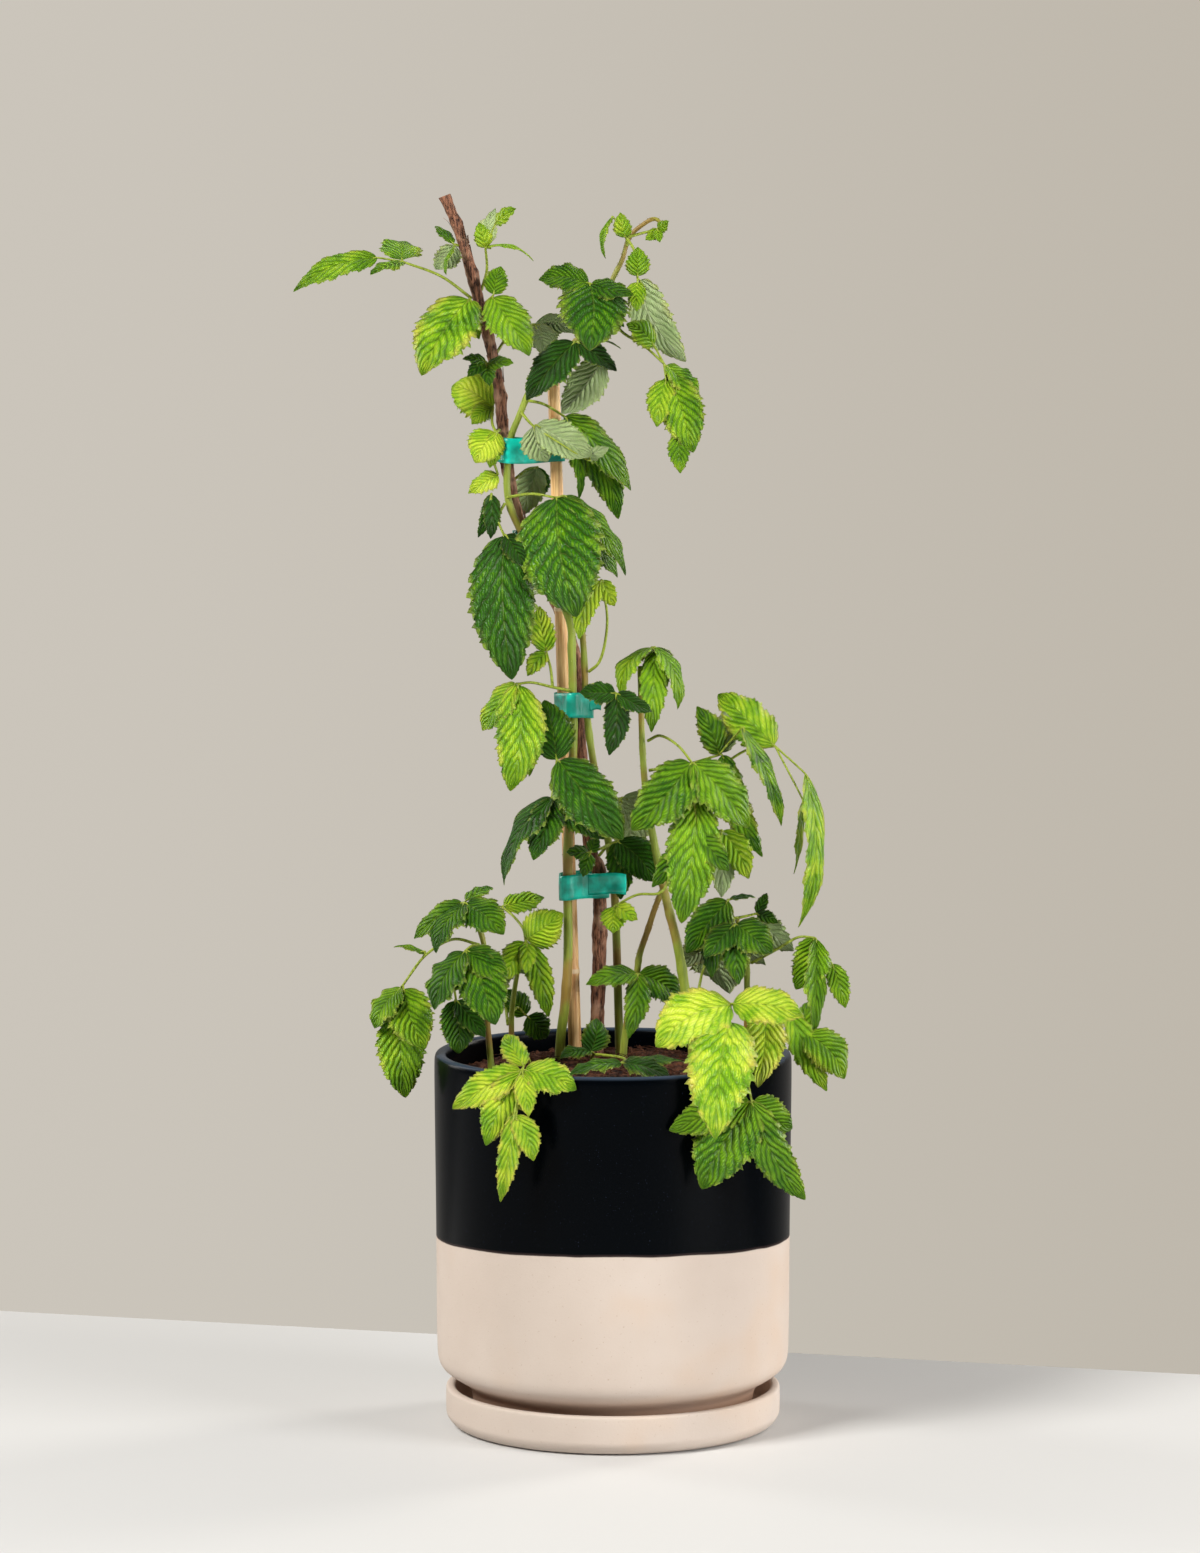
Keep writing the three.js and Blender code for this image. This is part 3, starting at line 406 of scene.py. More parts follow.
def scattered(shape_points, shape_faces, places, sizes, seed, flat=1.0):
    """Copies of one small shape, each stretched by its sizes, turned at random and set at its place."""
    draw = np.random.default_rng(seed)
    turn, tilt = draw.uniform(0, 2 * math.pi, len(places)), draw.normal(0, 0.5 * flat, len(places))
    turn_cos, turn_sin, tilt_cos, tilt_sin = np.cos(turn), np.sin(turn), np.cos(tilt), np.sin(tilt)
    zero, one = np.zeros_like(turn), np.ones_like(turn)
    spin = np.array([[turn_cos, -turn_sin, zero], [turn_sin, turn_cos, zero], [zero, zero, one]])
    lean = np.array([[tilt_cos, zero, tilt_sin], [zero, one, zero], [-tilt_sin, zero, tilt_cos]])
    spin, lean = spin.transpose(2, 0, 1), lean.transpose(2, 0, 1)
    local = shape_points[None] * sizes[:, None, :]
    points = np.einsum("nij,nkj->nki", spin @ lean, local) + places[:, None, :]
    faces = shape_faces[None] + np.arange(len(places))[:, None, None] * len(shape_points)
    return points.reshape(-1, 3), faces.reshape(-1, 4)


def joined(parts):
    """Stacks (points, faces) pairs into one pair."""
    offsets = np.cumsum([0] + [len(points) for points, _ in parts[:-1]])
    faces = [face + offset for (_, face), offset in zip(parts, offsets)]
    return np.concatenate([points for points, _ in parts]), np.concatenate(faces)


def pebble(rows=4, columns=6):
    """A rough ball of unit half-width: rows of latitude with every other corner pulled in."""
    latitude = np.linspace(-1.45, 1.45, rows)[:, None]
    longitude = np.arange(columns) * (2 * math.pi / columns)
    radius = np.cos(latitude) * (1 - 0.18 * (np.arange(columns) % 2))
    up = np.sin(latitude) + 0 * longitude
    grid = np.stack([radius * np.cos(longitude), radius * np.sin(longitude), up], axis=-1)
    return grid.reshape(-1, 3), tube_faces(rows, columns)


def fibre(bend, steps=7):
    """A thin square thread of unit length along X that arches by bend."""
    along = np.linspace(-0.5, 0.5, steps)[:, None]
    corner = np.arange(4) * math.pi / 2
    arch = bend * (0.25 - along ** 2)
    side, up = 0.02 * np.cos(corner) + arch * 0.8, 0.02 * np.sin(corner) + arch
    grid = np.stack([along + 0 * corner, side, up], axis=-1)
    return grid.reshape(-1, 3), tube_faces(steps, 4)


crumbs, fibres = 900, 260
soil_draw = np.random.default_rng(7)
crumb_radius = 80 * mm * np.sqrt(soil_draw.uniform(0, 1, crumbs))
crumb_angle = soil_draw.uniform(0, 2 * math.pi, crumbs)
crumb_x, crumb_y = crumb_radius * np.cos(crumb_angle), crumb_radius * np.sin(crumb_angle)
crumb_places = np.stack([crumb_x, crumb_y, soil_height(crumb_x, crumb_y)], axis=-1)
crumb_sizes = soil_draw.uniform(0.5, 1.9, (crumbs, 1)) * soil_draw.uniform(0.5, 1.3, (crumbs, 3)) * mm
fibre_places = crumb_places[:fibres] * np.array([0.93, 0.93, 1.0]) + np.array([0, 0, 1.2 * mm])
fibre_sizes = np.stack([soil_draw.uniform(6, longest, fibres) for longest in (17, 12, 12)], axis=-1) * mm
soil_parts = [(soil_points, tube_faces(len(soil_rows), soil_segments)),
              scattered(*pebble(), crumb_places, crumb_sizes, 11),
              scattered(*fibre(0.5), fibre_places, fibre_sizes, 12, 0.3)]

soil_material, soil_shader = shader("coir_mix", 0.95, 0.2)
soil_place = places_on(soil_material)
soil_tone = noise(soil_material, soil_place, 160.0, 5.0, 0.7)
soil_colour = blend_colours(soil_material, fade(soil_material, soil_tone, 0.35, 0.7),
                            linear(30, 15, 12), linear(106, 66, 46))
paint(soil_material, soil_shader, soil_colour)
raise_surface(soil_material, soil_shader, noise(soil_material, soil_place, 900.0, 5.0, 0.7), 0.0005)
soil = add_mesh("coir_soil", *joined(soil_parts), soil_material)
finish(soil, "soil")


# ---- Bamboo stake ------------------------------------------------------------------------------
# A cut and dried bamboo stick pushed deep into the soil: tan and slightly glossy, with a raised
# pale ring at each node. Every stem here is a tube that swells and tapers along a smooth curve.
def smooth_path(points, per_span):
    """Catmull-Rom curve through points in mm, per_span steps a span, returned in metres:
    half of (2b + (c-a)t + (2a-5b+4c-d)t^2 + (3b-a-3c+d)t^3) between b and c."""
    route = np.array(points, dtype=float)
    padded = np.concatenate([[2 * route[0] - route[1]], route, [2 * route[-1] - route[-2]]])
    t = (np.arange(per_span) / per_span)[None, :, None]
    a, b, c, d = (padded[k:len(padded) - 3 + k, None, :] for k in range(4))
    curve = (2 * a - 5 * b + 4 * c - d) * t ** 2 + (3 * b - a - 3 * c + d) * t ** 3
    spans = (2 * b + (c - a) * t + curve) / 2
    return np.concatenate([spans.reshape(-1, 3), route[-1:]]) * mm


def directions(line):
    """Unit tangents of a line, and two unit vectors square to each tangent and to each other; the
    first is also square to the axis that the line as a whole follows least."""
    tangent = np.gradient(line, axis=0)
    tangent /= np.linalg.norm(tangent, axis=1, keepdims=True)
    least = np.eye(3)[np.argmin(np.abs(line[-1] - line[0]))]
    first = np.cross(tangent, least)
    first /= np.linalg.norm(first, axis=1, keepdims=True)
    return tangent, first, np.cross(tangent, first)


def streaks_on(material, coordinates, share):
    """Coordinates squeezed along Z, so that noise on them runs in streaks up a stem."""
    return node(material, "ShaderNodeMapping", {"Vector": coordinates, "Scale": (1, 1, share)}).outputs[0]


def stem_tube(line, radius, columns):
    """Rings round a line; radius is one value a ring, or one a ring and column."""
    _, first, second = directions(line)
    angle = np.arange(columns) * (2 * math.pi / columns)
    size = radius if np.ndim(radius) == 2 else np.reshape(radius, (-1, 1))
    offset = first[:, None] * np.cos(angle)[None, :, None] + second[:, None] * np.sin(angle)[None, :, None]
    grid = line[:, None] + size[..., None] * offset
    return grid.reshape(-1, 3), tube_faces(len(line), columns)


stake_line = smooth_path([[-18.5, 8.4, 150], [-19, 8, 187], [-24.3, 5, 355], [-29.5, 2, 522]], 70)
stake_radius = np.linspace(3.5, 3.0, len(stake_line)) * mm
stake_nodes = (228, 318, 410, 488)
for height in stake_nodes:
    past = stake_line[:, 2] / mm - height
    stake_radius += (0.45 * np.exp(-(past / 1.3) ** 2) - 0.22 * np.exp(-((past - 3.4) / 1.6) ** 2)) * mm
stake_material, stake_shader = shader("bamboo", 0.45, 0.45)
stake_place = places_on(stake_material)
stake_stretch = streaks_on(stake_material, stake_place, 0.04)
stake_grain = noise(stake_material, stake_stretch, 1100.0, 4.0, 0.6)
stake_tone = blend_colours(stake_material, fade(stake_material, stake_grain, 0.3, 0.7),
                           linear(204, 146, 88), linear(250, 212, 150))
stake_cloud = fade(stake_material, noise(stake_material, stake_place, 26.0, 3.0), 0.45, 0.75)
stake_tone = blend_colours(stake_material, product(stake_material, stake_cloud, 0.3),
                           stake_tone, linear(160, 108, 66))
stake_z = node(stake_material, "ShaderNodeSeparateXYZ", {0: stake_place}).outputs[2]
for height in stake_nodes:
    from_ring = math_node(stake_material, "SUBTRACT", stake_z, height * mm)
    from_ring = math_node(stake_material, "ABSOLUTE", from_ring)
    ring = fade(stake_material, from_ring, 0.0006, 0.0016, 1.0, 0.0)
    stake_tone = blend_colours(stake_material, product(stake_material, ring, 0.7),
                               stake_tone, linear(236, 214, 180))
paint(stake_material, stake_shader, stake_tone)
raise_surface(stake_material, stake_shader, stake_grain, 0.0002, 0.5)
stake = add_mesh("bamboo_stick", *stem_tube(stake_line, stake_radius, 24), stake_material)
finish(stake, "bamboo_stake")


# ---- Woody cane --------------------------------------------------------------------------------
# Last year's cane, brown and dead at its tip, where it was cut. It is knobby at the old leaf
# joints, and its thin bark splits lengthwise and peels in strips.
woody_line = smooth_path([
    [-8, 12, 150], [-8, 12, 192], [-6.5, 12, 270], [-11.5, 12, 290], [-16.5, 12.5, 343], [-20, 13, 388],
    [-28.5, 12, 413], [-37, 8, 426], [-42.5, 5, 441], [-49, 3, 463], [-53, 2, 484], [-54.5, 2, 498],
    [-57.5, 2, 526], [-66.5, 1, 563], [-74, 0, 591], [-83, 0, 614.5]], 34)
woody_columns = 28
woody_share = np.linspace(0, 1, len(woody_line))
woody_angle = np.arange(woody_columns) * (2 * math.pi / woody_columns)
woody_radius = (3.4 - 1.0 * woody_share)[:, None] * np.ones(woody_columns)
woody_length = np.concatenate([[0], np.cumsum(np.linalg.norm(np.diff(woody_line, axis=0), axis=1))]) / mm
woody_knobs = ((44, 1.1), (70, 0.5), (96, 0.8), (128, 0.5), (176, 0.7), (236, 0.6), (286, 0.7),
               (338, 0.6), (374, 0.7), (404, 0.6), (436, 0.9), (462, 0.6), (478, 0.8))
for place, size in woody_knobs:
    side = 0.6 + 0.4 * np.cos(woody_angle - place)
    woody_radius += 1.25 * size * np.exp(-((woody_length - place) / 3.6) ** 2)[:, None] * side
furrows = np.sin(9 * woody_angle[None] + 2.2 * np.sin(woody_length[:, None] / 13.0))
lumps = ripple(woody_length[:, None], 6 * woody_angle[None], (23, 11, 6, 3.5), 5)
woody_radius += 0.22 * furrows + 0.36 * lumps
bark_material, bark_shader = shader("bark", 0.8, 0.3)
bark_place = places_on(bark_material)
bark_stretch = streaks_on(bark_material, bark_place, 0.12)
bark_grain = noise(bark_material, bark_stretch, 900.0, 5.0, 0.7)
bark_tone = blend_colours(bark_material, fade(bark_material, bark_grain, 0.36, 0.66),
                          linear(34, 18, 14), linear(158, 108, 82))
bark_cloud = fade(bark_material, noise(bark_material, bark_place, 90.0, 4.0), 0.48, 0.64)
bark_tone = blend_colours(bark_material, product(bark_material, bark_cloud, 0.55),
                          bark_tone, linear(196, 156, 128))
paint(bark_material, bark_shader, bark_tone)
raise_surface(bark_material, bark_shader, bark_grain, 0.0006, 0.8)


def peelings(line, reach, count, seed):
    """Strips of loose bark: each starts on the stem and runs along it, lifting away as the square of
    its length."""
    draw = np.random.default_rng(seed)
    tangent, first, second = directions(line)
    at = draw.integers(len(line) // 8, len(line) - 12, count)
    turn = draw.uniform(0, 2 * math.pi, count)[:, None, None, None]
    steps = 6
    share = np.linspace(0, 1, steps)[None, :, None, None]
    edge = np.array([-1, 1, 1, -1])[None, None, :, None] * draw.uniform(0.4, 1.0, count)[:, None, None, None]
    face = np.array([0, 0, 1, 1])[None, None, :, None] * 0.15
    spread = turn + edge * mm / reach * (1 - 0.5 * share)
    lift = reach + (0.1 + face + draw.uniform(0.6, 2.2, count)[:, None, None, None] * share ** 2) * mm
    length = draw.uniform(4, 11, count)[:, None, None, None] * mm * share
    out = first[at][:, None, None] * np.cos(spread) + second[at][:, None, None] * np.sin(spread)
    points = line[at][:, None, None] + tangent[at][:, None, None] * length + out * lift
    faces = tube_faces(steps, 4)[None, :, ::-1] + np.arange(count)[:, None, None] * 4 * steps
    return points.reshape(-1, 3), faces.reshape(-1, 4)


woody_parts = [stem_tube(woody_line, woody_radius * mm, woody_columns),
               peelings(woody_line, 2.9 * mm, 60, 21)]
woody = add_mesh("woody_raspberry_cane", *joined(woody_parts), bark_material)
finish(woody, "woody_cane")


# ---- Green canes and shoots --------------------------------------------------------------------
# This year's canes: yellow-green with brown flushes, slightly swollen at intervals, as at leaf
# joints, and set with many short fine prickles that point a little downwards.
green_material, green_shader = shader("green_cane", 0.5, 0.4)
green_place = places_on(green_material)
green_stretch = streaks_on(green_material, green_place, 0.1)
green_grain = noise(green_material, green_stretch, 700.0, 3.0)
green_tone = blend_colours(green_material, green_grain, linear(90, 110, 24), linear(156, 170, 60))
green_flush = fade(green_material, noise(green_material, green_place, 34.0, 3.0), 0.44, 0.62)
green_tone = blend_colours(green_material, product(green_material, green_flush, 0.65),
                           green_tone, linear(134, 78, 42))
paint(green_material, green_shader, green_tone)
raise_surface(green_material, green_shader, green_grain, 0.0002, 0.5)


def prickles(line, radius, count, seed):
    """Small four-sided spikes standing on a stem at random places, their tips leaning down the stem."""
    draw = np.random.default_rng(seed)
    tangent, first, second = directions(line)
    at = draw.integers(len(line) // 8, len(line) - 2, count)
    turn = draw.uniform(0, 2 * math.pi, count)[:, None]
    out = first[at] * np.cos(turn) + second[at] * np.sin(turn)
    round_it = np.cross(tangent[at], out)
    length = draw.uniform(0.5, 1.2, count)[:, None] * mm
    foot = line[at] + out * radius[at][:, None] * 0.9
    tip = foot + out * length - tangent[at] * length * 0.45
    corners = [(1, 1), (-1, 1), (-1, -1), (1, -1)]
    base = np.stack([foot + (tangent[at] * a + round_it * b) * 0.16 * mm for a, b in corners], axis=1)
    top = np.stack([tip + (tangent[at] * a + round_it * b) * 0.02 * mm for a, b in corners], axis=1)
    points = np.concatenate([base, top], axis=1)
    cube = np.array([[0, 1, 2, 3], [7, 6, 5, 4], [0, 4, 5, 1], [1, 5, 6, 2], [2, 6, 7, 3], [3, 7, 4, 0]])
    faces = cube[None] + np.arange(count)[:, None, None] * 8
    return points.reshape(-1, 3), faces.reshape(-1, 4)


green_stems = {
    "green_cane_tall": (2.5, 0.9, 220, [
        [-26, 1, 150], [-26.5, 1, 189], [-24, -2, 213], [-22.5, -3, 238], [-22.5, -3, 288], [-20, -4, 338],
        [-20, -4, 363], [-20.5, -4, 388], [-22, -5, 406], [-35, -7, 432], [-48, -7, 454], [-52.5, -6, 470],
        [-51, -6, 493], [-46.5, -7, 506], [-40, -7, 521], [-32.5, -6, 532], [-17.5, -3, 544], [-6.5, 0, 558],
        [0, 2, 574], [4.5, 3, 583], [8, 4, 594], [15, 4, 600.5], [21, 4, 603], [26, 4, 598]]),
    "green_cane_second": (2.2, 1.4, 110, [
        [5, 25, 150], [3, 24, 200], [1, 22, 262], [-2, 16, 290], [-6, 7, 312], [-11, 2, 341],
        [-13.5, 1, 364], [-14.5, 1, 388], [-16.5, 1, 413], [-18, 1, 433]]),
    "right_cane": (2.7, 1.3, 130, [
        [42, 4, 150], [40, 3, 191], [35.5, 2, 223], [32, 0, 243], [27.5, 0, 261], [23.5, -2, 279],
        [19.5, -4, 299], [16.5, -5, 318], [15, -5, 334], [14, -4, 357], [13.5, -3, 382]]),
    "thin_cane": (1.9, 1.4, 60, [
        [4, 14, 150], [5.5, 13, 189], [9.5, 12, 213], [12, 12, 226], [13.5, 12, 236],
        [17.5, 12, 248], [21, 11, 259], [24.5, 11, 268]]),
    "shoot_left": (1.7, 1.2, 40, [
        [-58, -8, 150], [-61.5, -10, 190], [-63, -12, 210], [-64, -14, 242], [-70, -15, 262]]),
    "shoot_left_inner": (1.6, 1.1, 30, [[-50, 12, 150], [-51, 10, 196], [-50, 6, 214], [-46, 0, 238]]),
    "shoot_right": (1.7, 1.2, 40, [
        [66, 6, 150], [67, 4, 190], [67, 0, 228], [66.5, -2, 238], [62, -3, 255]]),
}
for seed, (name, (low_radius, high_radius, spikes, route)) in enumerate(green_stems.items(), 31):
    line = smooth_path(route, 14)
    share = np.linspace(0, 1, len(line))
    joints = 0.12 * np.exp(-((share * len(route) * 0.6) % 1.0 - 0.5) ** 2 / 0.01)
    radius = (low_radius + (high_radius - low_radius) * share) * (1 + joints) * mm
    parts = [stem_tube(line, radius, 16), prickles(line, radius, spikes, seed)]
    finish(add_mesh(name + "_stem", *joined(parts), green_material), name)


# ---- Tape ties ---------------------------------------------------------------------------------
# Half-inch teal stretch tape pulled round stake and canes. It is thin and glossy, creased where it
# is pulled tight, and two of the ties end in a free tail. Sizes and places are in mm.
tape_material, tape_shader = shader("stretch_tape", 0.35, 0.5)
tape_place = places_on(tape_material)
tape_cloud = fade(tape_material, noise(tape_material, tape_place, 90.0, 3.0), 0.35, 0.7)
tape_colour = blend_colours(tape_material, tape_cloud, linear(0, 128, 108), linear(0, 214, 190))
paint(tape_material, tape_shader, tape_colour)
tape_stretch = streaks_on(tape_material, tape_place, 0.15)
raise_surface(tape_material, tape_shader, noise(tape_material, tape_stretch, 420.0, 3.0), 0.0006, 0.6)


tape_width = 12.5
tape_thickness = 0.5


def pulled_loop(circles, offset, columns):
    """Outline of a band pulled round circles (x, y, radius) in mm: in the heading a, it lies on the
    line furthest out, max(x cos a + y sin a + radius); the points are where neighbouring lines meet."""
    angle = np.arange(columns) * (2 * math.pi / columns)
    x, y, radius = np.array(circles).T
    reach = x[:, None] * np.cos(angle) + y[:, None] * np.sin(angle) + radius[:, None] + offset
    widest = np.argmax(reach, axis=0)
    points = np.stack([x[widest] + (radius[widest] + offset) * np.cos(angle),
                       y[widest] + (radius[widest] + offset) * np.sin(angle)], axis=-1)
    ring = np.concatenate([points, points[:1]])
    length = np.concatenate([[0], np.cumsum(np.linalg.norm(np.diff(ring, axis=0), axis=1))])
    even = np.linspace(0, length[-1], columns, endpoint=False)
    return np.stack([np.interp(even, length, ring[:, k]) for k in (0, 1)], axis=-1)


def tape_band(circles, low, seed):
    """A closed band as tall as the tape is wide: an outer and an inner wall, wavy at its edges."""
    columns, rows = 144, 9
    inner = pulled_loop(circles, 0.9, columns)
    outer = pulled_loop(circles, 0.9 + tape_thickness, columns)
    along = np.arange(columns) * (2 * math.pi / columns)
    height = np.linspace(0, tape_width, rows)[:, None]
    crease = 0.25 * np.sin(5 * along + seed + height * 0.35) + 0.15 * np.sin(13 * along + height * 0.7)
    outward = (outer - inner) / tape_thickness * (0.3 * crease + 0.2)[..., None]
    sway = 0.5 * np.sin(2 * along + seed)
    level = (low + height + sway)[..., None]
    walls = [np.concatenate([wall + outward, level], axis=-1) for wall in (outer, inner)]
    grid = np.concatenate([walls[0], walls[1][::-1]]) * mm
    return grid.reshape(-1, 3), tube_faces(2 * rows, columns, ring=True)


def tape_tail(route, low, high):
    """A free end: a strip that stands on edge along a route of (x, y) points in mm, its end cut askew."""
    line = smooth_path([(x, y, 0) for x, y in route], 8)
    share = np.linspace(0, 1, len(line))[:, None]
    _, first, second = directions(line)
    across = np.where(np.abs(first[:, 2:]) > 0.5, second, first)
    height = (low + (high - low) * np.linspace(0, 1, 7)[None] + 1.2 * share * np.sin(3 * share)) * mm
    side = np.stack([line[:, 0:1] + 0 * height, line[:, 1:2] + 0 * height, height], axis=-1)
    flutter = 0.4 * mm * share * np.sin(height / mm * 0.8)
    half = tape_thickness * mm / 2
    face = side + across[:, None] * (flutter + half)[..., None]
    back = side + across[:, None] * (flutter - half)[..., None]
    grid = np.concatenate([face, back[:, ::-1]], axis=1)
    return grid.reshape(-1, 3), tube_faces(len(line), 14)[:, ::-1]


tie_loops = {
    "tie_upper": (483.0, [[-53, 2, 3], [-54.4, 2, 3], [-51.5, -6, 2.1], [-28.7, 2.6, 3.2]], None),
    "tie_second": (436.0, [[-40.8, 6.3, 3], [-45.4, 4.4, 3], [-37, -7.2, 2.3], [-45.6, -7.2, 2.3],
                           [-27, 3.6, 3.3]], None),
    "tie_middle": (356.0, [[-24.5, 5, 3.3], [-20, -4, 2.4], [-13.4, 1, 2.2], [-18.1, 12.7, 3.3]],
                   ([[-11.5, -2.4], [-9, -1.8], [-6, -1.2]], 359.5, 366.5)),
    "tie_lower": (265.0, [[-22, 6.4, 3.5], [-22.5, -3, 2.6], [-7.2, 12, 3.9]],
                  ([[-12.5, 0.2], [-8, 0], [-3, 0.8], [2, 0.2], [6.6, -0.8]], 267.0, 277.5)),
}
for seed, (name, (low, circles, tail)) in enumerate(tie_loops.items(), 2):
    parts = [tape_band(circles, low, seed)]
    if tail:
        parts.append(tape_tail(*tail))
    finish(add_mesh(name + "_tape", *joined(parts), tape_material), name)


# ---- Leaves ------------------------------------------------------------------------------------
# Compound raspberry leaves: a thin stalk from the cane to a hub, and three or five oval leaflets,
# each pointed, doubly toothed, and puckered between the side veins that run to its teeth. They are
# dark to yellow-green above, and pale sage with raised veins beneath.
leaf_material, leaf_shader = shader("raspberry_leaf", 0.4, 0.32)
leaf_place = places_on(leaf_material)
leaf_map = node(leaf_material, "ShaderNodeUVMap", uv_map="veins").outputs[0]
leaf_axes = node(leaf_material, "ShaderNodeSeparateXYZ", {0: leaf_map})
across_blade = leaf_axes.outputs[1]
# The vein map counts side veins along the blade. Noise shifts the count, so that no vein runs straight.
wander_noise = noise(leaf_material, leaf_place, 110.0, 3.0, 0.6)
vein_wander = fade(leaf_material, wander_noise, 0.25, 0.75, -0.24, 0.24)
vein_phase = math_node(leaf_material, "ADD", leaf_axes.outputs[0], vein_wander)


def leaf_value(name):
    """A number stored on the leaf's points."""
    return node(leaf_material, "ShaderNodeAttribute", attribute_name=name).outputs["Fac"]


leaf_tone, beneath, stalk_share, ageing = (leaf_value(n) for n in ("tone", "beneath", "stalk", "ageing"))
out_from_rib = math_node(leaf_material, "ABSOLUTE", across_blade)
to_vein = math_node(leaf_material, "PINGPONG", vein_phase, 0.5)
side_vein = fade(leaf_material, to_vein, 0.015, 0.055, 1.0, 0.0)
midrib = fade(leaf_material, out_from_rib, 0.012, 0.045, 1.0, 0.0)
veins = math_node(leaf_material, "MAXIMUM", side_vein, midrib)
pleat = math_node(leaf_material, "POWER", product(leaf_material, to_vein, 2.0), 0.6)
mottle = noise(leaf_material, leaf_place, 95.0, 4.0, 0.6)
# Fine cross veins lie between the side veins like the rungs of ladders, and pucker the blade again.
rung_noise = product(leaf_material, noise(leaf_material, leaf_place, 260.0, 2.0), 2.4)
rung_shift = product(leaf_material, math_node(leaf_material, "FLOOR", vein_phase), 0.37)
rung_shift = math_node(leaf_material, "ADD", rung_shift, rung_noise)
rungs = math_node(leaf_material, "ADD", product(leaf_material, out_from_rib, 11.0), rung_shift)
to_rung = math_node(leaf_material, "PINGPONG", rungs, 0.5)
pucker = math_node(leaf_material, "POWER", product(leaf_material, to_rung, 2.0), 0.5)
crest = product(leaf_material, pleat, pucker)
# The blade is yellower in patches, more so on an ageing leaf, and is painted lighter on its crests and
# darker in its hollows as painted light and shade.
patch_reach = fade(leaf_material, ageing, 0.0, 0.7, 0.45, 1.0)
patches = product(leaf_material, fade(leaf_material, mottle, 0.3, 0.7, -0.16, 0.15), patch_reach)
tone = math_node(leaf_material, "ADD", leaf_tone, patches)
# Painted light and shade: the crests of the puckers are lightened and their hollows darkened.
tone = math_node(leaf_material, "ADD", tone, fade(leaf_material, crest, 0.2, 0.95, -0.04, 0.1), clamp=True)
blade_ramp = node(leaf_material, "ShaderNodeValToRGB", {0: tone})
ramp_stops = [(0.0, (9, 32, 3)), (0.3, (48, 102, 6)), (0.55, (122, 172, 16)),
              (0.8, (194, 216, 52)), (1.0, (226, 230, 110))]
ramp = blade_ramp.color_ramp.elements
for place, colour in ramp_stops[1:-1]:
    ramp.new(place)
for element, (place, colour) in zip(ramp, ramp_stops):
    element.position = place
    element.color = (*linear(*colour), 1.0)
# Painted shade darkens the creases beside the pale veins, and shows least on yellow leaves.
crease_shade_depth = fade(leaf_material, leaf_tone, 0.3, 0.75, 0.74, 0.14)
crease = product(leaf_material, fade(leaf_material, to_vein, 0.02, 0.12, 1.0, 0.0), crease_shade_depth)
upper = blend_colours(leaf_material, crease, blade_ramp.outputs[0], (0.2, 0.26, 0.07), "MULTIPLY")
vein_share = product(leaf_material, veins, fade(leaf_material, leaf_tone, 0.2, 0.8, 0.16, 0.4))
upper = blend_colours(leaf_material, vein_share, upper, linear(150, 178, 66))
lower_cloud = blend_colours(leaf_material, mottle, linear(128, 158, 92), linear(190, 206, 150))
lower = blend_colours(leaf_material, product(leaf_material, veins, 0.5), lower_cloud, linear(208, 220, 168))
blade = blend_colours(leaf_material, beneath, upper, lower)
# An ageing leaf is scorched along its margins: straw yellow, then brown at the edge.
scorch = product(leaf_material, ageing, fade(leaf_material, out_from_rib, 0.6, 0.98))
scorch = product(leaf_material, scorch, fade(leaf_material, mottle, 0.38, 0.6))
blade = blend_colours(leaf_material, product(leaf_material, scorch, 0.85), blade, linear(206, 190, 84))
brown_edge = product(leaf_material, scorch, fade(leaf_material, out_from_rib, 0.86, 1.0))
blade = blend_colours(leaf_material, product(leaf_material, brown_edge, 0.7), blade, linear(126, 84, 44))
pale_edge = product(leaf_material, fade(leaf_material, out_from_rib, 0.9, 0.99), 0.5)
blade = blend_colours(leaf_material, pale_edge, blade, linear(158, 180, 70))
leaf_colour = blend_colours(leaf_material, stalk_share, blade, linear(140, 156, 50))
paint(leaf_material, leaf_shader, leaf_colour)
relief = math_node(leaf_material, "ADD", product(leaf_material, crest, 0.45), pleat)
relief = math_node(leaf_material, "SUBTRACT", relief, product(leaf_material, midrib, 0.6))
relief = product(leaf_material, relief, fade(leaf_material, leaf_tone, 0.35, 0.75, 1.0, 0.4))
raise_surface(leaf_material, leaf_shader, relief, 0.0022, 0.9)
leaf_shader.inputs["Subsurface Weight"].default_value = 0.06
leaf_shader.inputs["Subsurface Radius"].default_value = (0.6, 1.0, 0.25)
leaf_shader.inputs["Subsurface Scale"].default_value = 0.0012

# Which way a leaflet's upper face looks; "under" turns its underside to the front.
facings = {
    "front": (0, -1, 0.25), "frontUp": (0, -0.8, 0.7), "up": (0, -0.3, 1), "left": (-0.9, -0.6, 0.3),
    "right": (0.9, -0.6, 0.3), "leftUp": (-0.6, -0.4, 0.8), "rightUp": (0.6, -0.4, 0.8),
    "under": (0.15, 1, -0.35), "back": (0, 1, 0.3), "backUp": (0, 0.7, 0.8),
}

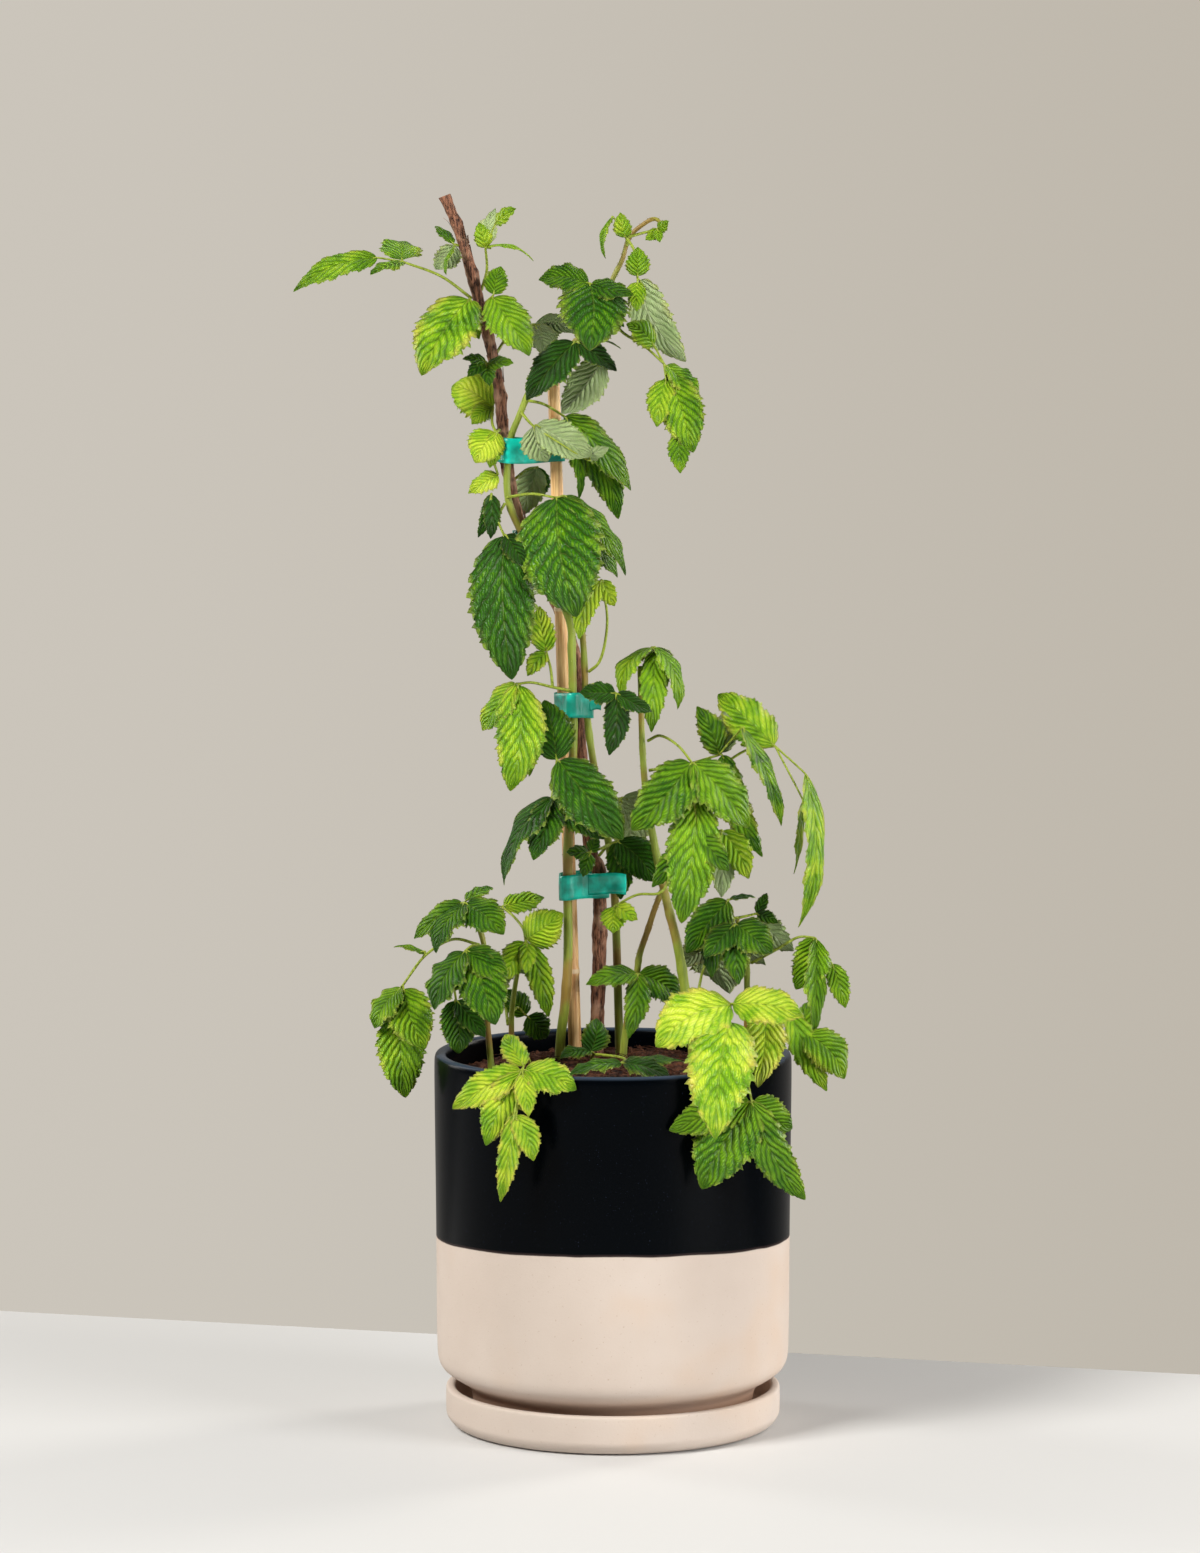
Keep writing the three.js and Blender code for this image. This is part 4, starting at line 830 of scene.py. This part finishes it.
# Leaves, from the top down, in mm. A leaf is its node, its stalk from cane to hub, and its leaflets: base,
# tip, width, the way its upper face looks, and the height of its arch.
leaves = [
  ["leaf_far_left", [[-70, 0, 564], [-85, -6, 575], [-103.5, -10, 582]], [
    [[-116, -12, 584], [-158, -16, 570], 15, "frontUp", 3],
    [[-104, -9, 583], [-107, 22, 595], 20, "up", 1],
    [[-104, -12, 582], [-119, -24, 577], 14, "up", 1]]],
  ["leaf_cane_tip", [[-76.6, -1, 590], [-78, -4, 590.5]], [
    [[-78, -4, 590], [-87.5, -12, 577.5], 13, "under", 1],
    [[-78, -6, 590], [-83.5, -22, 577], 8, "left", 1],
    [[-79, -3, 591], [-88, 8, 600.5], 7, "up", 1]]],
  ["leaf_cane_tip_right", [[-65.2, 2.5, 568], [-62.5, 4, 578], [-63, -3, 589]], [
    [[-63, -3, 589], [-66, -8, 601], 9, "front", 1],
    [[-61, -1, 592], [-58, 10, 607], 9, "under", 1],
    [[-58, -3, 601], [-48.5, -8, 608.5], 9, "frontUp", 1],
    [[-63, -4, 589], [-39, -9, 585], 7, "up", 3]]],
  ["leaf_upper_left", [[-69.2, 0, 559], [-71, -6, 564]], [
    [[-71, -7, 563.5], [-94.5, -26, 528.5], 31, "frontUp", 3],
    [[-70, -8, 563], [-66, -16, 544.5], 11, "front", 1]]],
  ["leaf_upper_right", [[-62.8, -1, 562], [-59.5, -7, 565]], [
    [[-59.5, -8, 564.5], [-41, -22, 537.5], 23, "frontUp", 2],
    [[-59, -7, 566], [-55.5, -3, 580], 12, "frontUp", 1]]],
  ["leaf_cane_knot", [[-60, -1, 533], [-62.5, -5, 532]], [
    [[-62, -6, 532], [-49.5, -12, 533], 9, "frontUp", 1],
    [[-63, -5, 533], [-74, -8, 535], 8, "frontUp", 1],
    [[-63.5, -6, 532], [-71.5, -14, 526], 7, "front", 1],
    [[-62.5, -7, 531], [-61, -15, 522], 8, "front", 1]]],
  ["leaf_low_knot", [[-58, -8, 498], [-60, 0, 503], [-59.5, 7, 510]], [
    [[-59.5, 8, 510], [-81, 16, 521], 23, "front", 2],
    [[-60, 7, 509], [-70, 2, 502], 10, "front", 1]]],
  ["leaf_low_knot", [[-56.2, -2, 499], [-58, -8, 498]], [
    [[-58, -8, 498], [-68, -14, 484], 18, "front", 1],
    [[-57.5, -9, 498], [-61, -12, 481], 10, "front", 1]]],
  ["leaf_low_knot", [[-58, -8, 498], [-60, -7, 488], [-57, -5, 477]], [
    [[-57, -5, 477], [-72, -8, 469], 13, "frontUp", 1]]],
  ["leaf_behind_tie", [[-49.4, 6, 474], [-43, 11, 479], [-38, 14, 480]], [
    [[-38, 14, 480], [-46.5, 13, 455], 16, "under", 1],
    [[-37.5, 15, 480], [-38, 20, 463], 10, "front", 1]]],
  ["leaf_top_tip", [[7, 1.5, 590], [6.5, -2, 594]], [
    [[0, -1, 604], [-5, -4, 584], 6, "left", 3],
    [[6, -3, 594], [3.5, -8, 606], 9, "front", 1]]],
  ["leaf_top_tip", [[6.5, -2, 594], [11, -5, 586], [12, -5, 574]], [
    [[12, -6, 575], [12, -11, 589], 12, "front", 1],
    [[13, -4, 573], [35, 10, 534], 20, "under", 3],
    [[12, -7, 572], [11.5, -14, 558.5], 10, "front", 1]]],
  ["leaf_top_tip", [[6.5, -2, 594], [14, -1, 596], [22, -1, 598]], [
    [[22, -1, 598], [16, -4, 593], 6, "front", 0.5],
    [[22, -1, 598.5], [27, -6, 602], 6, "front", 0.5],
    [[22, -2, 598], [23, -6, 592], 5, "front", 0.5]]],
  ["leaf_top_middle", [[-6.5, -2, 561], [-8, -4, 567], [-11.5, -5, 571.5]], [
    [[-12, -5, 571.5], [-36.5, -7, 574.5], 18, "frontUp", 2],
    [[-11.5, -6, 571], [-11.5, -30, 541], 34, "frontUp", 3],
    [[-11, -5, 571], [9.5, -16, 567], 15, "frontUp", 1],
    [[-10.5, -6, 570.5], [5, -22, 551], 11, "front", 1]]],
  ["leaf_arched", [[-21.5, -6.3, 542], [-18, -12, 543]], [
    [[-19, -12.5, 542.5], [-43.5, -20, 515.5], 22, "frontUp", 2],
    [[-6, -9, 533], [-25, -14, 507], 20, "under", 2],
    [[-18, -11, 543], [2, -14, 529], 13, "frontUp", 2],
    [[-17, -11, 543], [4, -8, 541], 9, "up", 2]]],
  ["leaf_hanging_right", [[-3.8, -1, 560], [4, -6, 548], [15, -8, 541], [25, -9, 532]], [
    [[20, -9, 541], [7, -12, 552], 15, "frontUp", 1],
    [[26, -9, 531], [43, -10, 517], 14, "right", 1],
    [[27.5, -10, 526], [39.5, -20, 489], 22, "front", 3],
    [[26, -12, 524], [21.5, -20, 502], 14, "front", 1],
    [[32, -16, 498], [33, -22, 479], 11, "front", 1]]],
  ["leaf_pale_twist", [[-45.3, -9, 508], [-42, -13, 504], [-39, -14, 501]], [
    [[-39.5, -14, 501], [-32, -20, 483.5], 16, "under", 1],
    [[-38, -16, 502], [-10, -31, 486], 18, "under", 2],
    [[-14, -30, 486], [-2, -28, 491], 7, "under", 1]]],
  ["leaf_dark_arch", [[-43, -9.4, 514], [-34, -12, 512], [-24, -11, 506]], [
    [[-24, -11, 506], [11, -8, 471], 21, "frontUp", 2],
    [[-24, -9, 505], [4, 0, 454], 19, "front", 3],
    [[-23, -13, 505], [-14, -12, 466], 14, "right", 2]]],
  ["leaf_centre", [[-52.5, -9, 466], [-40, -14, 468], [-28, -14, 466]], [
    [[-28, -15, 466], [-18, -30, 409], 42, "front", 5],
    [[-24, -13, 467], [7.5, -17, 429], 18, "right", 4],
    [[-24, -11, 466], [5.5, -4, 428], 20, "right", 2],
    [[-29, -15, 465], [-41, -18, 443], 11, "front", 1]]],
  ["leaf_below_centre", [[-12, -0.6, 379], [-7, -5, 384], [-4, -7, 394], [-3, -8, 408], [-6, -9, 425]], [
    [[-6, -10, 425], [-17, -13, 396], 12, "front", 1],
    [[-5.5, -9, 425], [1, -8, 412], 9, "front", 1]]],
  ["leaf_left_dark", [[-53.6, -9, 463], [-57, -14, 456], [-54, -17, 448]], [
    [[-54, -18, 447.5], [-50, -22, 376.5], 33, "front", 4],
    [[-53, -19, 448], [-43, -24, 433], 12, "front", 1]]],
  ["leaf_left_dark", [[-57, -14, 456], [-61, -13, 462], [-60, -12, 468]], [
    [[-60, -12, 467.5], [-60.5, -16, 446], 9, "front", 1],
    [[-60.5, -11, 467.5], [-67, -9, 446], 7, "front", 1]]],
  ["leaf_droop_left", [[-30, -10, 372], [-31, -9, 381], [-33, -8, 389]], [
    [[-33, -8, 389.5], [-36.5, -9, 412], 13, "front", 1],
    [[-33, -9, 389], [-42.5, -12, 378], 9, "front", 1]]],
  ["leaf_droop_left", [[-21.5, -7.3, 370], [-30, -10, 372], [-40, -13, 374.5], [-47, -14, 374]], [
    [[-47, -15, 373.5], [-51, -24, 322], 25, "front", 3],
    [[-48, -13, 374], [-66, -10, 351], 19, "left", 2],
    [[-46, -14, 373], [-37.5, -15, 328.5], 12, "right", 1]]],
  ["leaf_five_part", [[-20.6, -7.4, 347], [-23, -13, 344], [-28, -17, 336]], [
    [[-28, -17, 336.5], [-34, -13, 366], 21, "front", 1],
    [[-27, -18, 336], [5.5, -34, 300], 28, "frontUp", 4],
    [[-30.5, -18, 318], [-57, -26, 277], 27, "left", 4],
    [[-30.5, -19, 317], [-39.5, -36, 290], 18, "frontUp", 2],
    [[-29.5, -18, 317.5], [-3.5, -24, 299.5], 18, "frontUp", 1]]],
  ["leaf_three_part", [[-12.2, -1.4, 372], [-6, -14, 374], [1.5, -24, 370]], [
    [[1, -24.5, 370], [-16.5, -26, 371.5], 14, "frontUp", 1],
    [[2, -25, 370], [19.5, -26, 362], 11, "frontUp", 1],
    [[1.5, -25.5, 369.5], [-2, -32, 340.5], 13, "front", 1]]],
  ["leaf_hoops", [[14, -2.5, 384.5], [17, -2, 389], [20, 0, 391]], [
    [[19, -0.5, 391], [3, -12, 368], 14, "leftUp", 5],
    [[21, 1, 391], [34, -8, 362], 16, "rightUp", 6],
    [[21, -1, 389], [19, -16, 351], 14, "front", 5],
    [[20.5, 1.5, 391], [27, 22, 372], 14, "backUp", 3]]],
  ["leaf_big_three_part", [[17.3, -6.4, 345], [23.5, -12, 348], [32, -22, 344], [39, -30, 336]], [
    [[38.5, -30.5, 336], [8.5, -36, 304], 28, "frontUp", 3],
    [[40, -31, 336], [68.5, -34, 306], 26, "frontUp", 3],
    [[41.5, -33, 319], [33.5, -46, 259], 26, "front", 3],
    [[40, -38, 300], [19, -42, 276], 13, "front", 1],
    [[41, -38, 302], [57, -42, 284], 13, "front", 1]]],
  ["leaf_behind_right", [[17.9, -4, 330], [35, 2, 332], [53, 4, 337]], [
    [[53, 4, 337.5], [42, -2, 361.5], 14, "front", 1],
    [[54, 5, 338], [56, 10, 358], 14, "under", 1],
    [[64, -4, 351], [85.5, -12, 304], 14, "right", 2],
    [[54.5, 3.5, 337], [74.5, -6, 287], 16, "front", 2]]],
  ["leaf_far_right", [[19, -2.4, 322], [45, 14, 325], [66, 15, 338], [81, 8, 341]], [
    [[80.5, 8, 341.5], [53.5, 14, 368], 23, "frontUp", 2],
    [[96, 4, 327.5], [97.5, -14, 253], 17, "right", 4],
    [[95, 5, 314], [92, 4, 277], 9, "right", 2]]],
  ["leaf_under_big", [[25, -5, 286], [38, -2, 296], [54, -4, 300]], [
    [[54.5, -5, 300], [67.5, -12, 277], 15, "front", 1],
    [[54, -6, 299.5], [54.5, -8, 267], 15, "under", 2]]],
  ["leaf_mid_shade", [[-7, 7.8, 286], [-2, 4, 292], [3, 2, 294]], [
    [[2.5, 2, 294], [21, 7, 273], 19, "front", 1],
    [[2, 3, 293.5], [4, 10, 263], 14, "front", 1]]],
  ["leaf_mid_shade", [[-2, 4, 292], [-6, -5, 291], [-11.5, -14, 290]], [
    [[-12, -14.5, 290], [-23, -17, 291], 9, "frontUp", 1],
    [[-11.5, -15, 289.5], [-15, -18, 278.5], 8, "front", 1],
    [[-11, -15, 290.5], [-7, -15, 297], 7, "front", 1]]],
  ["leaf_under_big", [[25, -5, 286], [27.5, -7.5, 276], [23, -8, 269], [12, -7, 268], [1, -3, 262]], [
    [[0.5, -3.5, 261.5], [0, -8, 249], 13, "front", 1],
    [[2, -4, 262], [12, -10, 256], 9, "front", 1]]],
  ["leaf_low_right", [[60, -6, 256], [57, -10, 266]], [
    [[57, -11, 265.5], [36, -22, 241.5], 20, "frontUp", 2],
    [[58, -10, 266], [71, -6, 268], 6, "up", 1],
    [[56.5, -12, 265], [49, -19, 228], 15, "front", 1]]],
  ["leaf_low_right", [[60, -6, 256], [60, -14, 254], [60, -22, 255]], [
    [[59.5, -22.5, 254.5], [45, -33, 241], 15, "frontUp", 1],
    [[60, -23, 254], [62, -35, 227.5], 15, "front", 1],
    [[61, -22, 255], [79, -28, 242], 21, "frontUp", 2]]],
  ["leaf_low_right", [[60, -6, 256], [66, -5, 257], [72, -1, 258]], [
    [[72, -1, 258], [77, 2, 268], 6, "front", 1],
    [[72, -2, 257.5], [82, -6, 254], 7, "front", 1],
    [[73, 0, 257], [90, 2, 239], 14, "under", 1]]],
  ["leaf_right_edge", [[69.2, -1, 233], [82, -8, 241], [92, -10, 247], [100, -11, 247]], [
    [[100, -11.5, 246.5], [91, -19, 222.5], 19, "front", 1],
    [[101, -12, 246.5], [103, -22, 200.5], 17, "right", 2],
    [[109, -12, 234], [116, -14, 212], 11, "front", 1]]],
  ["leaf_right_rim", [[69.2, 1, 205], [80, -20, 200], [95.5, -24, 201]], [
    [[88, -22, 211], [106, -31, 173], 15, "front", 1],
    [[96, -25, 200.5], [116, -26, 179], 22, "frontUp", 2],
    [[95, -24, 202], [98, -14, 216.5], 9, "front", 1]]],
  ["leaf_yellow_front", [[42, 0, 205], [48, -28, 222], [57.5, -58, 220]], [
    [[57, -59, 220], [20.5, -72, 202], 31, "frontUp", 3],
    [[58.5, -60, 220.5], [93, -66, 217], 21, "frontUp", 3],
    [[57, -64, 212], [49, -103, 163.5], 33, "frontUp", 5]]],
  ["leaf_yellow_front", [[57.5, -58, 220], [66, -50, 219], [75, -40, 214]], [
    [[75, -41, 213.5], [71, -62, 181.5], 21, "frontUp", 2]]],
  ["leaf_front_low_right", [[46, -5, 182.5], [56, -50, 195], [62, -76, 199], [67, -88, 177]], [
    [[67, -88, 176.5], [42.5, -91, 134], 30, "front", 2],
    [[66, -88, 176.5], [27, -91, 163], 19, "front", 1],
    [[68, -87, 176.5], [88, -82, 162], 18, "front", 1],
    [[67, -89, 176], [94.5, -87, 127], 19, "front", 2]]],
  ["leaf_front_left", [[-40, -30, 182.8], [-42, -60, 194], [-44, -84, 192]], [
    [[-45, -85, 191.5], [-79, -86, 174], 18, "frontUp", 2],
    [[-43, -85, 191.5], [-18, -92, 184], 19, "frontUp", 1],
    [[-45, -87, 190.5], [-62, -94, 156], 18, "front", 1],
    [[-43.5, -82, 193], [-53, -64, 208], 12, "frontUp", 1],
    [[-44, -88, 190], [-41, -97, 171], 11, "front", 1],
    [[-47, -95, 171], [-38.5, -98, 149], 13, "front", 1],
    [[-48, -95.5, 171], [-55, -96, 128], 11, "front", 1]]],
  ["leaf_far_left_low", [[-66.5, -15.5, 244], [-80, -10, 246], [-94, -5, 237], [-105, -2, 222]], [
    [[-106, -3, 221], [-121, -9, 203], 20, "leftUp", 2],
    [[-104.5, -5, 220.5], [-94, -16, 192], 23, "front", 2],
    [[-106, -1, 211], [-104, -3, 165], 24, "front", 3],
    [[-94, -5, 238], [-109, -4, 243], 6, "up", 1]]],
  ["leaf_left_top", [[-71.3, -15.5, 264.5], [-74, -16, 265]], [
    [[-74, -17, 264.5], [-90, -27, 243.5], 23, "leftUp", 2],
    [[-73, -18, 265], [-54, -30, 252], 21, "frontUp", 2],
    [[-75, -15, 265], [-101, -9, 247.5], 13, "frontUp", 1],
    [[-73, -15, 266], [-60, -3, 273], 9, "up", 1]]],
  ["leaf_left_round", [[-44.6, -1, 240.5], [-43.5, -6, 245]], [
    [[-43, -6.5, 245.5], [-25.5, -11, 259], 20, "front", 1],
    [[-44, -8, 244.5], [-54, -15, 226], 14, "front", 1],
    [[-43, -8, 244], [-43.5, -17, 230], 9, "front", 1],
    [[-42, -6, 243], [-32, -6, 206], 13, "front", 1]]],
  ["leaf_left_round", [[-43.5, -6, 245], [-45, 2, 250], [-50, 12, 255], [-56, 18, 259]], [
    [[-55, 18, 259.5], [-34.5, 23, 264.5], 13, "frontUp", 1]]],
  ["leaf_left_middle", [[-65.5, -16.8, 243.5], [-69, -24, 245], [-73, -30, 243]], [
    [[-73.5, -31, 242.5], [-91, -38, 216.5], 25, "leftUp", 2],
    [[-72, -31, 243], [-52, -40, 231], 18, "frontUp", 1],
    [[-72.5, -32, 242], [-58, -48, 209], 25, "front", 2]]],
  ["leaf_left_middle", [[-69, -24, 245], [-77, -23, 236], [-79, -22, 226], [-78, -22, 217.5]], [
    [[-78.5, -22.5, 217], [-77, -21, 189.5], 18, "front", 1],
    [[-77.5, -23, 217], [-63, -28, 200], 13, "frontUp", 1]]],
  ["leaf_small_dark", [[-51.8, 12, 205], [-48, 17, 208], [-44, 18, 204]], [
    [[-44, 18, 204], [-54, 21, 217], 14, "frontUp", 1],
    [[-43, 18, 203.5], [-33, 24, 191], 14, "front", 1]]],
  ["leaf_cane_low", [[12.3, 9.4, 225], [12.5, 7, 226.5]], [
    [[13, 7, 226.5], [35, 9, 213], 19, "frontUp", 2],
    [[12, 6, 226.5], [-13, -8, 224], 13, "frontUp", 2],
    [[12.5, 5, 226], [7.5, -14, 198.5], 13, "frontUp", 1]]],
  ["leaf_soil_front", [[-9, -10, 188], [-11, -12, 190]], [
    [[-11, -12, 190], [-8, -6, 206], 14, "front", 1],
    [[-11, -12, 190], [-26, -22, 190], 11, "up", 1]]],
  ["leaf_soil_front", [[-11, -2, 184.8], [-9, -10, 188], [2, -30, 190], [6, -46, 191], [4, -58, 191]], [
    [[4, -58, 191], [-23, -66, 188], 15, "up", 1],
    [[5, -59, 191], [28, -64, 187], 17, "up", 2],
    [[6, -57, 191], [35, -50, 192], 14, "up", 1]]],
  ["leaf_back_top", [[-59, 4.6, 535], [-52, 14, 545], [-40, 24, 551]], [
    [[-39, 24.5, 551], [-18, 38, 548], 20, "backUp", 2],
    [[-40, 25, 551], [-50, 44, 540], 16, "backUp", 2],
    [[-39, 26, 550.5], [-32, 44, 535], 18, "backUp", 2]]],
  ["leaf_back_centre", [[-37.5, 11.6, 428], [-30, 24, 436], [-22, 32, 440]], [
    [[-22, 32.5, 440], [-18, 46, 412], 26, "back", 3],
    [[-21, 32, 440.5], [-2, 38, 432], 16, "backUp", 1],
    [[-23, 33, 440], [-38, 42, 430], 16, "backUp", 1]]],
  ["leaf_back_middle", [[-4.5, 16, 300], [0, 26, 308], [4, 36, 312]], [
    [[4, 36.5, 312], [12, 52, 284], 26, "back", 3],
    [[5, 36, 312.5], [24, 40, 306], 17, "backUp", 1],
    [[3, 37, 312], [-14, 44, 304], 17, "backUp", 1]]],
  ["leaf_back_left", [[-52.8, 11.6, 200], [-56, 28, 222], [-58, 42, 230]], [
    [[-58, 42.5, 230], [-62, 66, 208], 26, "backUp", 3],
    [[-57, 42, 230.5], [-38, 54, 222], 17, "backUp", 1],
    [[-59, 42, 230], [-80, 44, 222], 17, "backUp", 1]]],
  ["leaf_back_right", [[40.5, 7.4, 205], [46, 26, 228], [52, 40, 236]], [
    [[52, 40.5, 236], [60, 66, 212], 27, "backUp", 3],
    [[53, 40, 236.5], [78, 42, 228], 18, "backUp", 1],
    [[51, 41, 236], [34, 56, 226], 18, "backUp", 1]]],
]

# How yellow each leaf is, from 0, dark green, to 1, and how far its margins have scorched.
leaf_looks = {
    "leaf_far_left": (0.54, 0.3), "leaf_cane_tip": (0.5, 0.2), "leaf_cane_tip_right": (0.62, 0.2),
    "leaf_upper_left": (0.5, 0.7), "leaf_upper_right": (0.42, 0.2), "leaf_cane_knot": (0.36, 0.0),
    "leaf_low_knot": (0.7, 0.4), "leaf_behind_tie": (0.3, 0.0), "leaf_top_tip": (0.58, 0.3),
    "leaf_top_middle": (0.34, 0.2), "leaf_arched": (0.16, 0.0), "leaf_hanging_right": (0.48, 0.4),
    "leaf_pale_twist": (0.5, 0.0), "leaf_dark_arch": (0.4, 0.2), "leaf_centre": (0.42, 0.12),
    "leaf_below_centre": (0.62, 0.0), "leaf_left_dark": (0.2, 0.1), "leaf_droop_left": (0.55, 0.5),
    "leaf_five_part": (0.24, 0.1), "leaf_three_part": (0.14, 0.0), "leaf_hoops": (0.5, 0.1),
    "leaf_big_three_part": (0.43, 0.2), "leaf_behind_right": (0.42, 0.5), "leaf_far_right": (0.55, 0.6),
    "leaf_under_big": (0.6, 0.2), "leaf_mid_shade": (0.26, 0.0), "leaf_low_right": (0.28, 0.2),
    "leaf_right_edge": (0.48, 0.2), "leaf_right_rim": (0.5, 0.4), "leaf_yellow_front": (0.66, 0.8),
    "leaf_front_low_right": (0.42, 0.2), "leaf_front_left": (0.64, 0.8), "leaf_far_left_low": (0.52, 0.4),
    "leaf_left_top": (0.38, 0.2), "leaf_left_round": (0.58, 0.3), "leaf_left_middle": (0.34, 0.1),
    "leaf_small_dark": (0.3, 0.0), "leaf_cane_low": (0.4, 0.2), "leaf_soil_front": (0.28, 0.2),
    "leaf_back_top": (0.4, 0.2), "leaf_back_centre": (0.34, 0.2), "leaf_back_middle": (0.4, 0.2),
    "leaf_back_left": (0.46, 0.4), "leaf_back_right": (0.5, 0.4),
}


def leaflet_surface(base, tip, width, face, arch, swell, draw):
    """Points, vein map, underside marks and quads of one leaflet, in metres.
    Half its width at the share s along the midrib follows s^0.55 (1-s)^0.85, with a shallow lobe
    where each side vein ends, saw teeth that rise towards the tip and drop back, and finer teeth on
    those. The blade follows the midrib's arch and rises from it as a shallow V that turns down at the
    margins. It puffs up between the side veins as (4f(1-f))^0.7 times swell, where f is the fraction
    left over from n(1.08s - 0.42|v|), v runs across and n is the number of veins. It waves at its
    margins and droops at its tip. The underside is the same sheet a little lower."""
    start, end = np.array(base, dtype=float), np.array(tip, dtype=float)
    length = np.linalg.norm(end - start)
    along = (end - start) / length
    normal = np.array(facings[face], dtype=float)
    normal -= normal.dot(along) * along
    normal /= np.linalg.norm(normal)
    right = np.cross(normal, along)
    # A broad leaflet has more veins, teeth and points than a narrow one.
    veins = 4 if width < 10 else 6 if width < 18 else 8
    teeth = 2 * veins + 3
    rows, half = teeth * 4 + 1, 5 if width < 10 else 7 if width < 18 else 11
    share = np.linspace(0, 1, rows)[:, None]
    across = np.linspace(1, -1, 2 * half + 1)[None, :]
    out = np.abs(across)
    # The margin: how far each point lies from the midrib.
    outline = share ** 0.55 * (1 - share) ** 0.85 * 2.555
    window = np.sin(math.pi * share) ** 0.6
    saw = (share * teeth) % 1.0 * 0.75 + (share * teeth * 2) % 1.0 * 0.3
    saw[-1] = 0
    reach = width / 2 * 1.02 * outline * out + (0.055 * width + 0.5) * window * (saw - 0.4) * out ** 4
    phase = veins * (share * 1.08 - 0.42 * out)
    part = phase % 1.0
    reach = reach + 0.035 * width * window * np.cos(2 * math.pi * part) * out ** 4
    reach = np.maximum(reach, 0.04 * out)
    puff = (4 * part * (1 - part)) ** 0.7 * np.sqrt(out) * (1 - 0.7 * out ** 4) * window
    # The blade's height over the straight line from base to tip.
    wave_count, wave_start, lean = draw.integers(2, 4), draw.uniform(0, 2 * math.pi), draw.normal(0, 0.05)
    twist, droop = draw.normal(0, 0.2), draw.uniform(0.04, 0.13)
    height = arch * 4 * share * (1 - share) - 0.6 * reach ** 2 / width
    height = height + reach * (0.2 + twist * share * np.sign(across))
    height = height + (0.025 * width + 0.2) * swell * puff - 0.25 * np.exp(-(across / 0.07) ** 2) * window
    wave = np.sin(2 * math.pi * wave_count * share + wave_start + 1.5 * np.sign(across))
    height = height + 0.06 * width * wave * out ** 3 * window
    height = height - droop * length * share ** 3
    # Both faces of the sheet, which is thickest along the midrib.
    sideways = lean * length * np.sin(math.pi * share)
    middle = start + along * length * share[..., None]
    sheet = middle + normal * height[..., None] + right * (reach * np.sign(across) + sideways)[..., None]
    sheet = sheet + along * (0.02 * width * saw * out ** 6 * window)[..., None]
    thin = 0.28 * (1 - 0.75 * out ** 3) + 0.35 * np.exp(-(across / 0.09) ** 2) * (1 - share)
    under = sheet - normal * (thin + 0.03)[..., None]
    grid = np.concatenate([sheet, under[:, ::-1]], axis=1) * mm
    mapped = np.stack([phase, across + 0 * share], axis=-1)
    mapped = np.concatenate([mapped, mapped[:, ::-1]], axis=1)
    columns = grid.shape[1]
    beneath_it = np.broadcast_to(np.arange(columns) > 2 * half, (rows, columns)).astype(float)
    return grid.reshape(-1, 3), mapped.reshape(-1, 2), beneath_it.ravel(), tube_faces(rows, columns)


stalk_radii = (0.8, 0.6)
side_stalk_radii = (0.55, 0.4)


def leaf_piece(name, sprays):
    """One object for the leaves of a node: each spray is a stalk that tapers to its hub, a thinner
    stalk to each leaflet that stands off the hub, and the leaflets. A yellow leaf is puffed least."""
    draw = np.random.default_rng(sum(map(ord, name)))
    tone, ageing = leaf_looks[name]
    points, quads, maps, values, count = [], [], [], [], 0

    def keep(new_points, new_quads, new_map, under, is_stalk, shade):
        nonlocal count
        points.append(new_points)
        quads.append(new_quads + count)
        maps.append(new_map)
        size = len(new_points)
        row = [np.full(size, shade), under, np.full(size, is_stalk), np.full(size, ageing)]
        values.append(np.stack(row, axis=-1))
        count += size

    for stalk, leaflets in sprays:
        hub = np.array(stalk[-1], dtype=float)
        routes = [(stalk, stalk_radii)]
        for base, tip, width, face, arch in leaflets:
            if np.linalg.norm(np.array(base) - hub) > 0.3:
                step = np.array(tip, dtype=float) - base
                into = (np.array(base) + step * min(3 / np.linalg.norm(step), 0.2)).tolist()
                routes.append(([stalk[-1], base, into], side_stalk_radii))
            shade = tone + draw.normal(0, 0.045)
            surface = leaflet_surface(base, tip, width, face, arch, 1.2 - tone, draw)
            blade_points, mapped, under, blade_quads = surface
            keep(blade_points, blade_quads, mapped, under, 0.0, shade)
        for route, radii in routes:
            line = smooth_path(route, 8)
            radius = np.linspace(*radii, len(line)) * mm
            stalk_points, stalk_quads = stem_tube(line, radius, 8)
            size = len(stalk_points)
            keep(stalk_points, stalk_quads, np.zeros((size, 2)), np.zeros(size), 1.0, tone)

    piece = add_mesh(name + "_blades", np.concatenate(points), np.concatenate(quads), leaf_material)
    mesh = piece.data
    corner = np.empty(len(mesh.loops), dtype=np.int32)
    mesh.loops.foreach_get("vertex_index", corner)
    layer = mesh.uv_layers.new(name="veins")
    layer.data.foreach_set("uv", np.concatenate(maps)[corner].astype(np.float32).ravel())
    table = np.concatenate(values)
    for k, label in enumerate(("tone", "beneath", "stalk", "ageing")):
        store = mesh.attributes.new(label, "FLOAT", "POINT")
        store.data.foreach_set("value", np.ascontiguousarray(table[:, k], dtype=np.float32))
    finish(piece, name)


sprays_of = {}
for name, stalk, leaflets in leaves:
    sprays_of.setdefault(name, []).append((stalk, leaflets))
for name, sprays in sprays_of.items():
    leaf_piece(name, sprays)
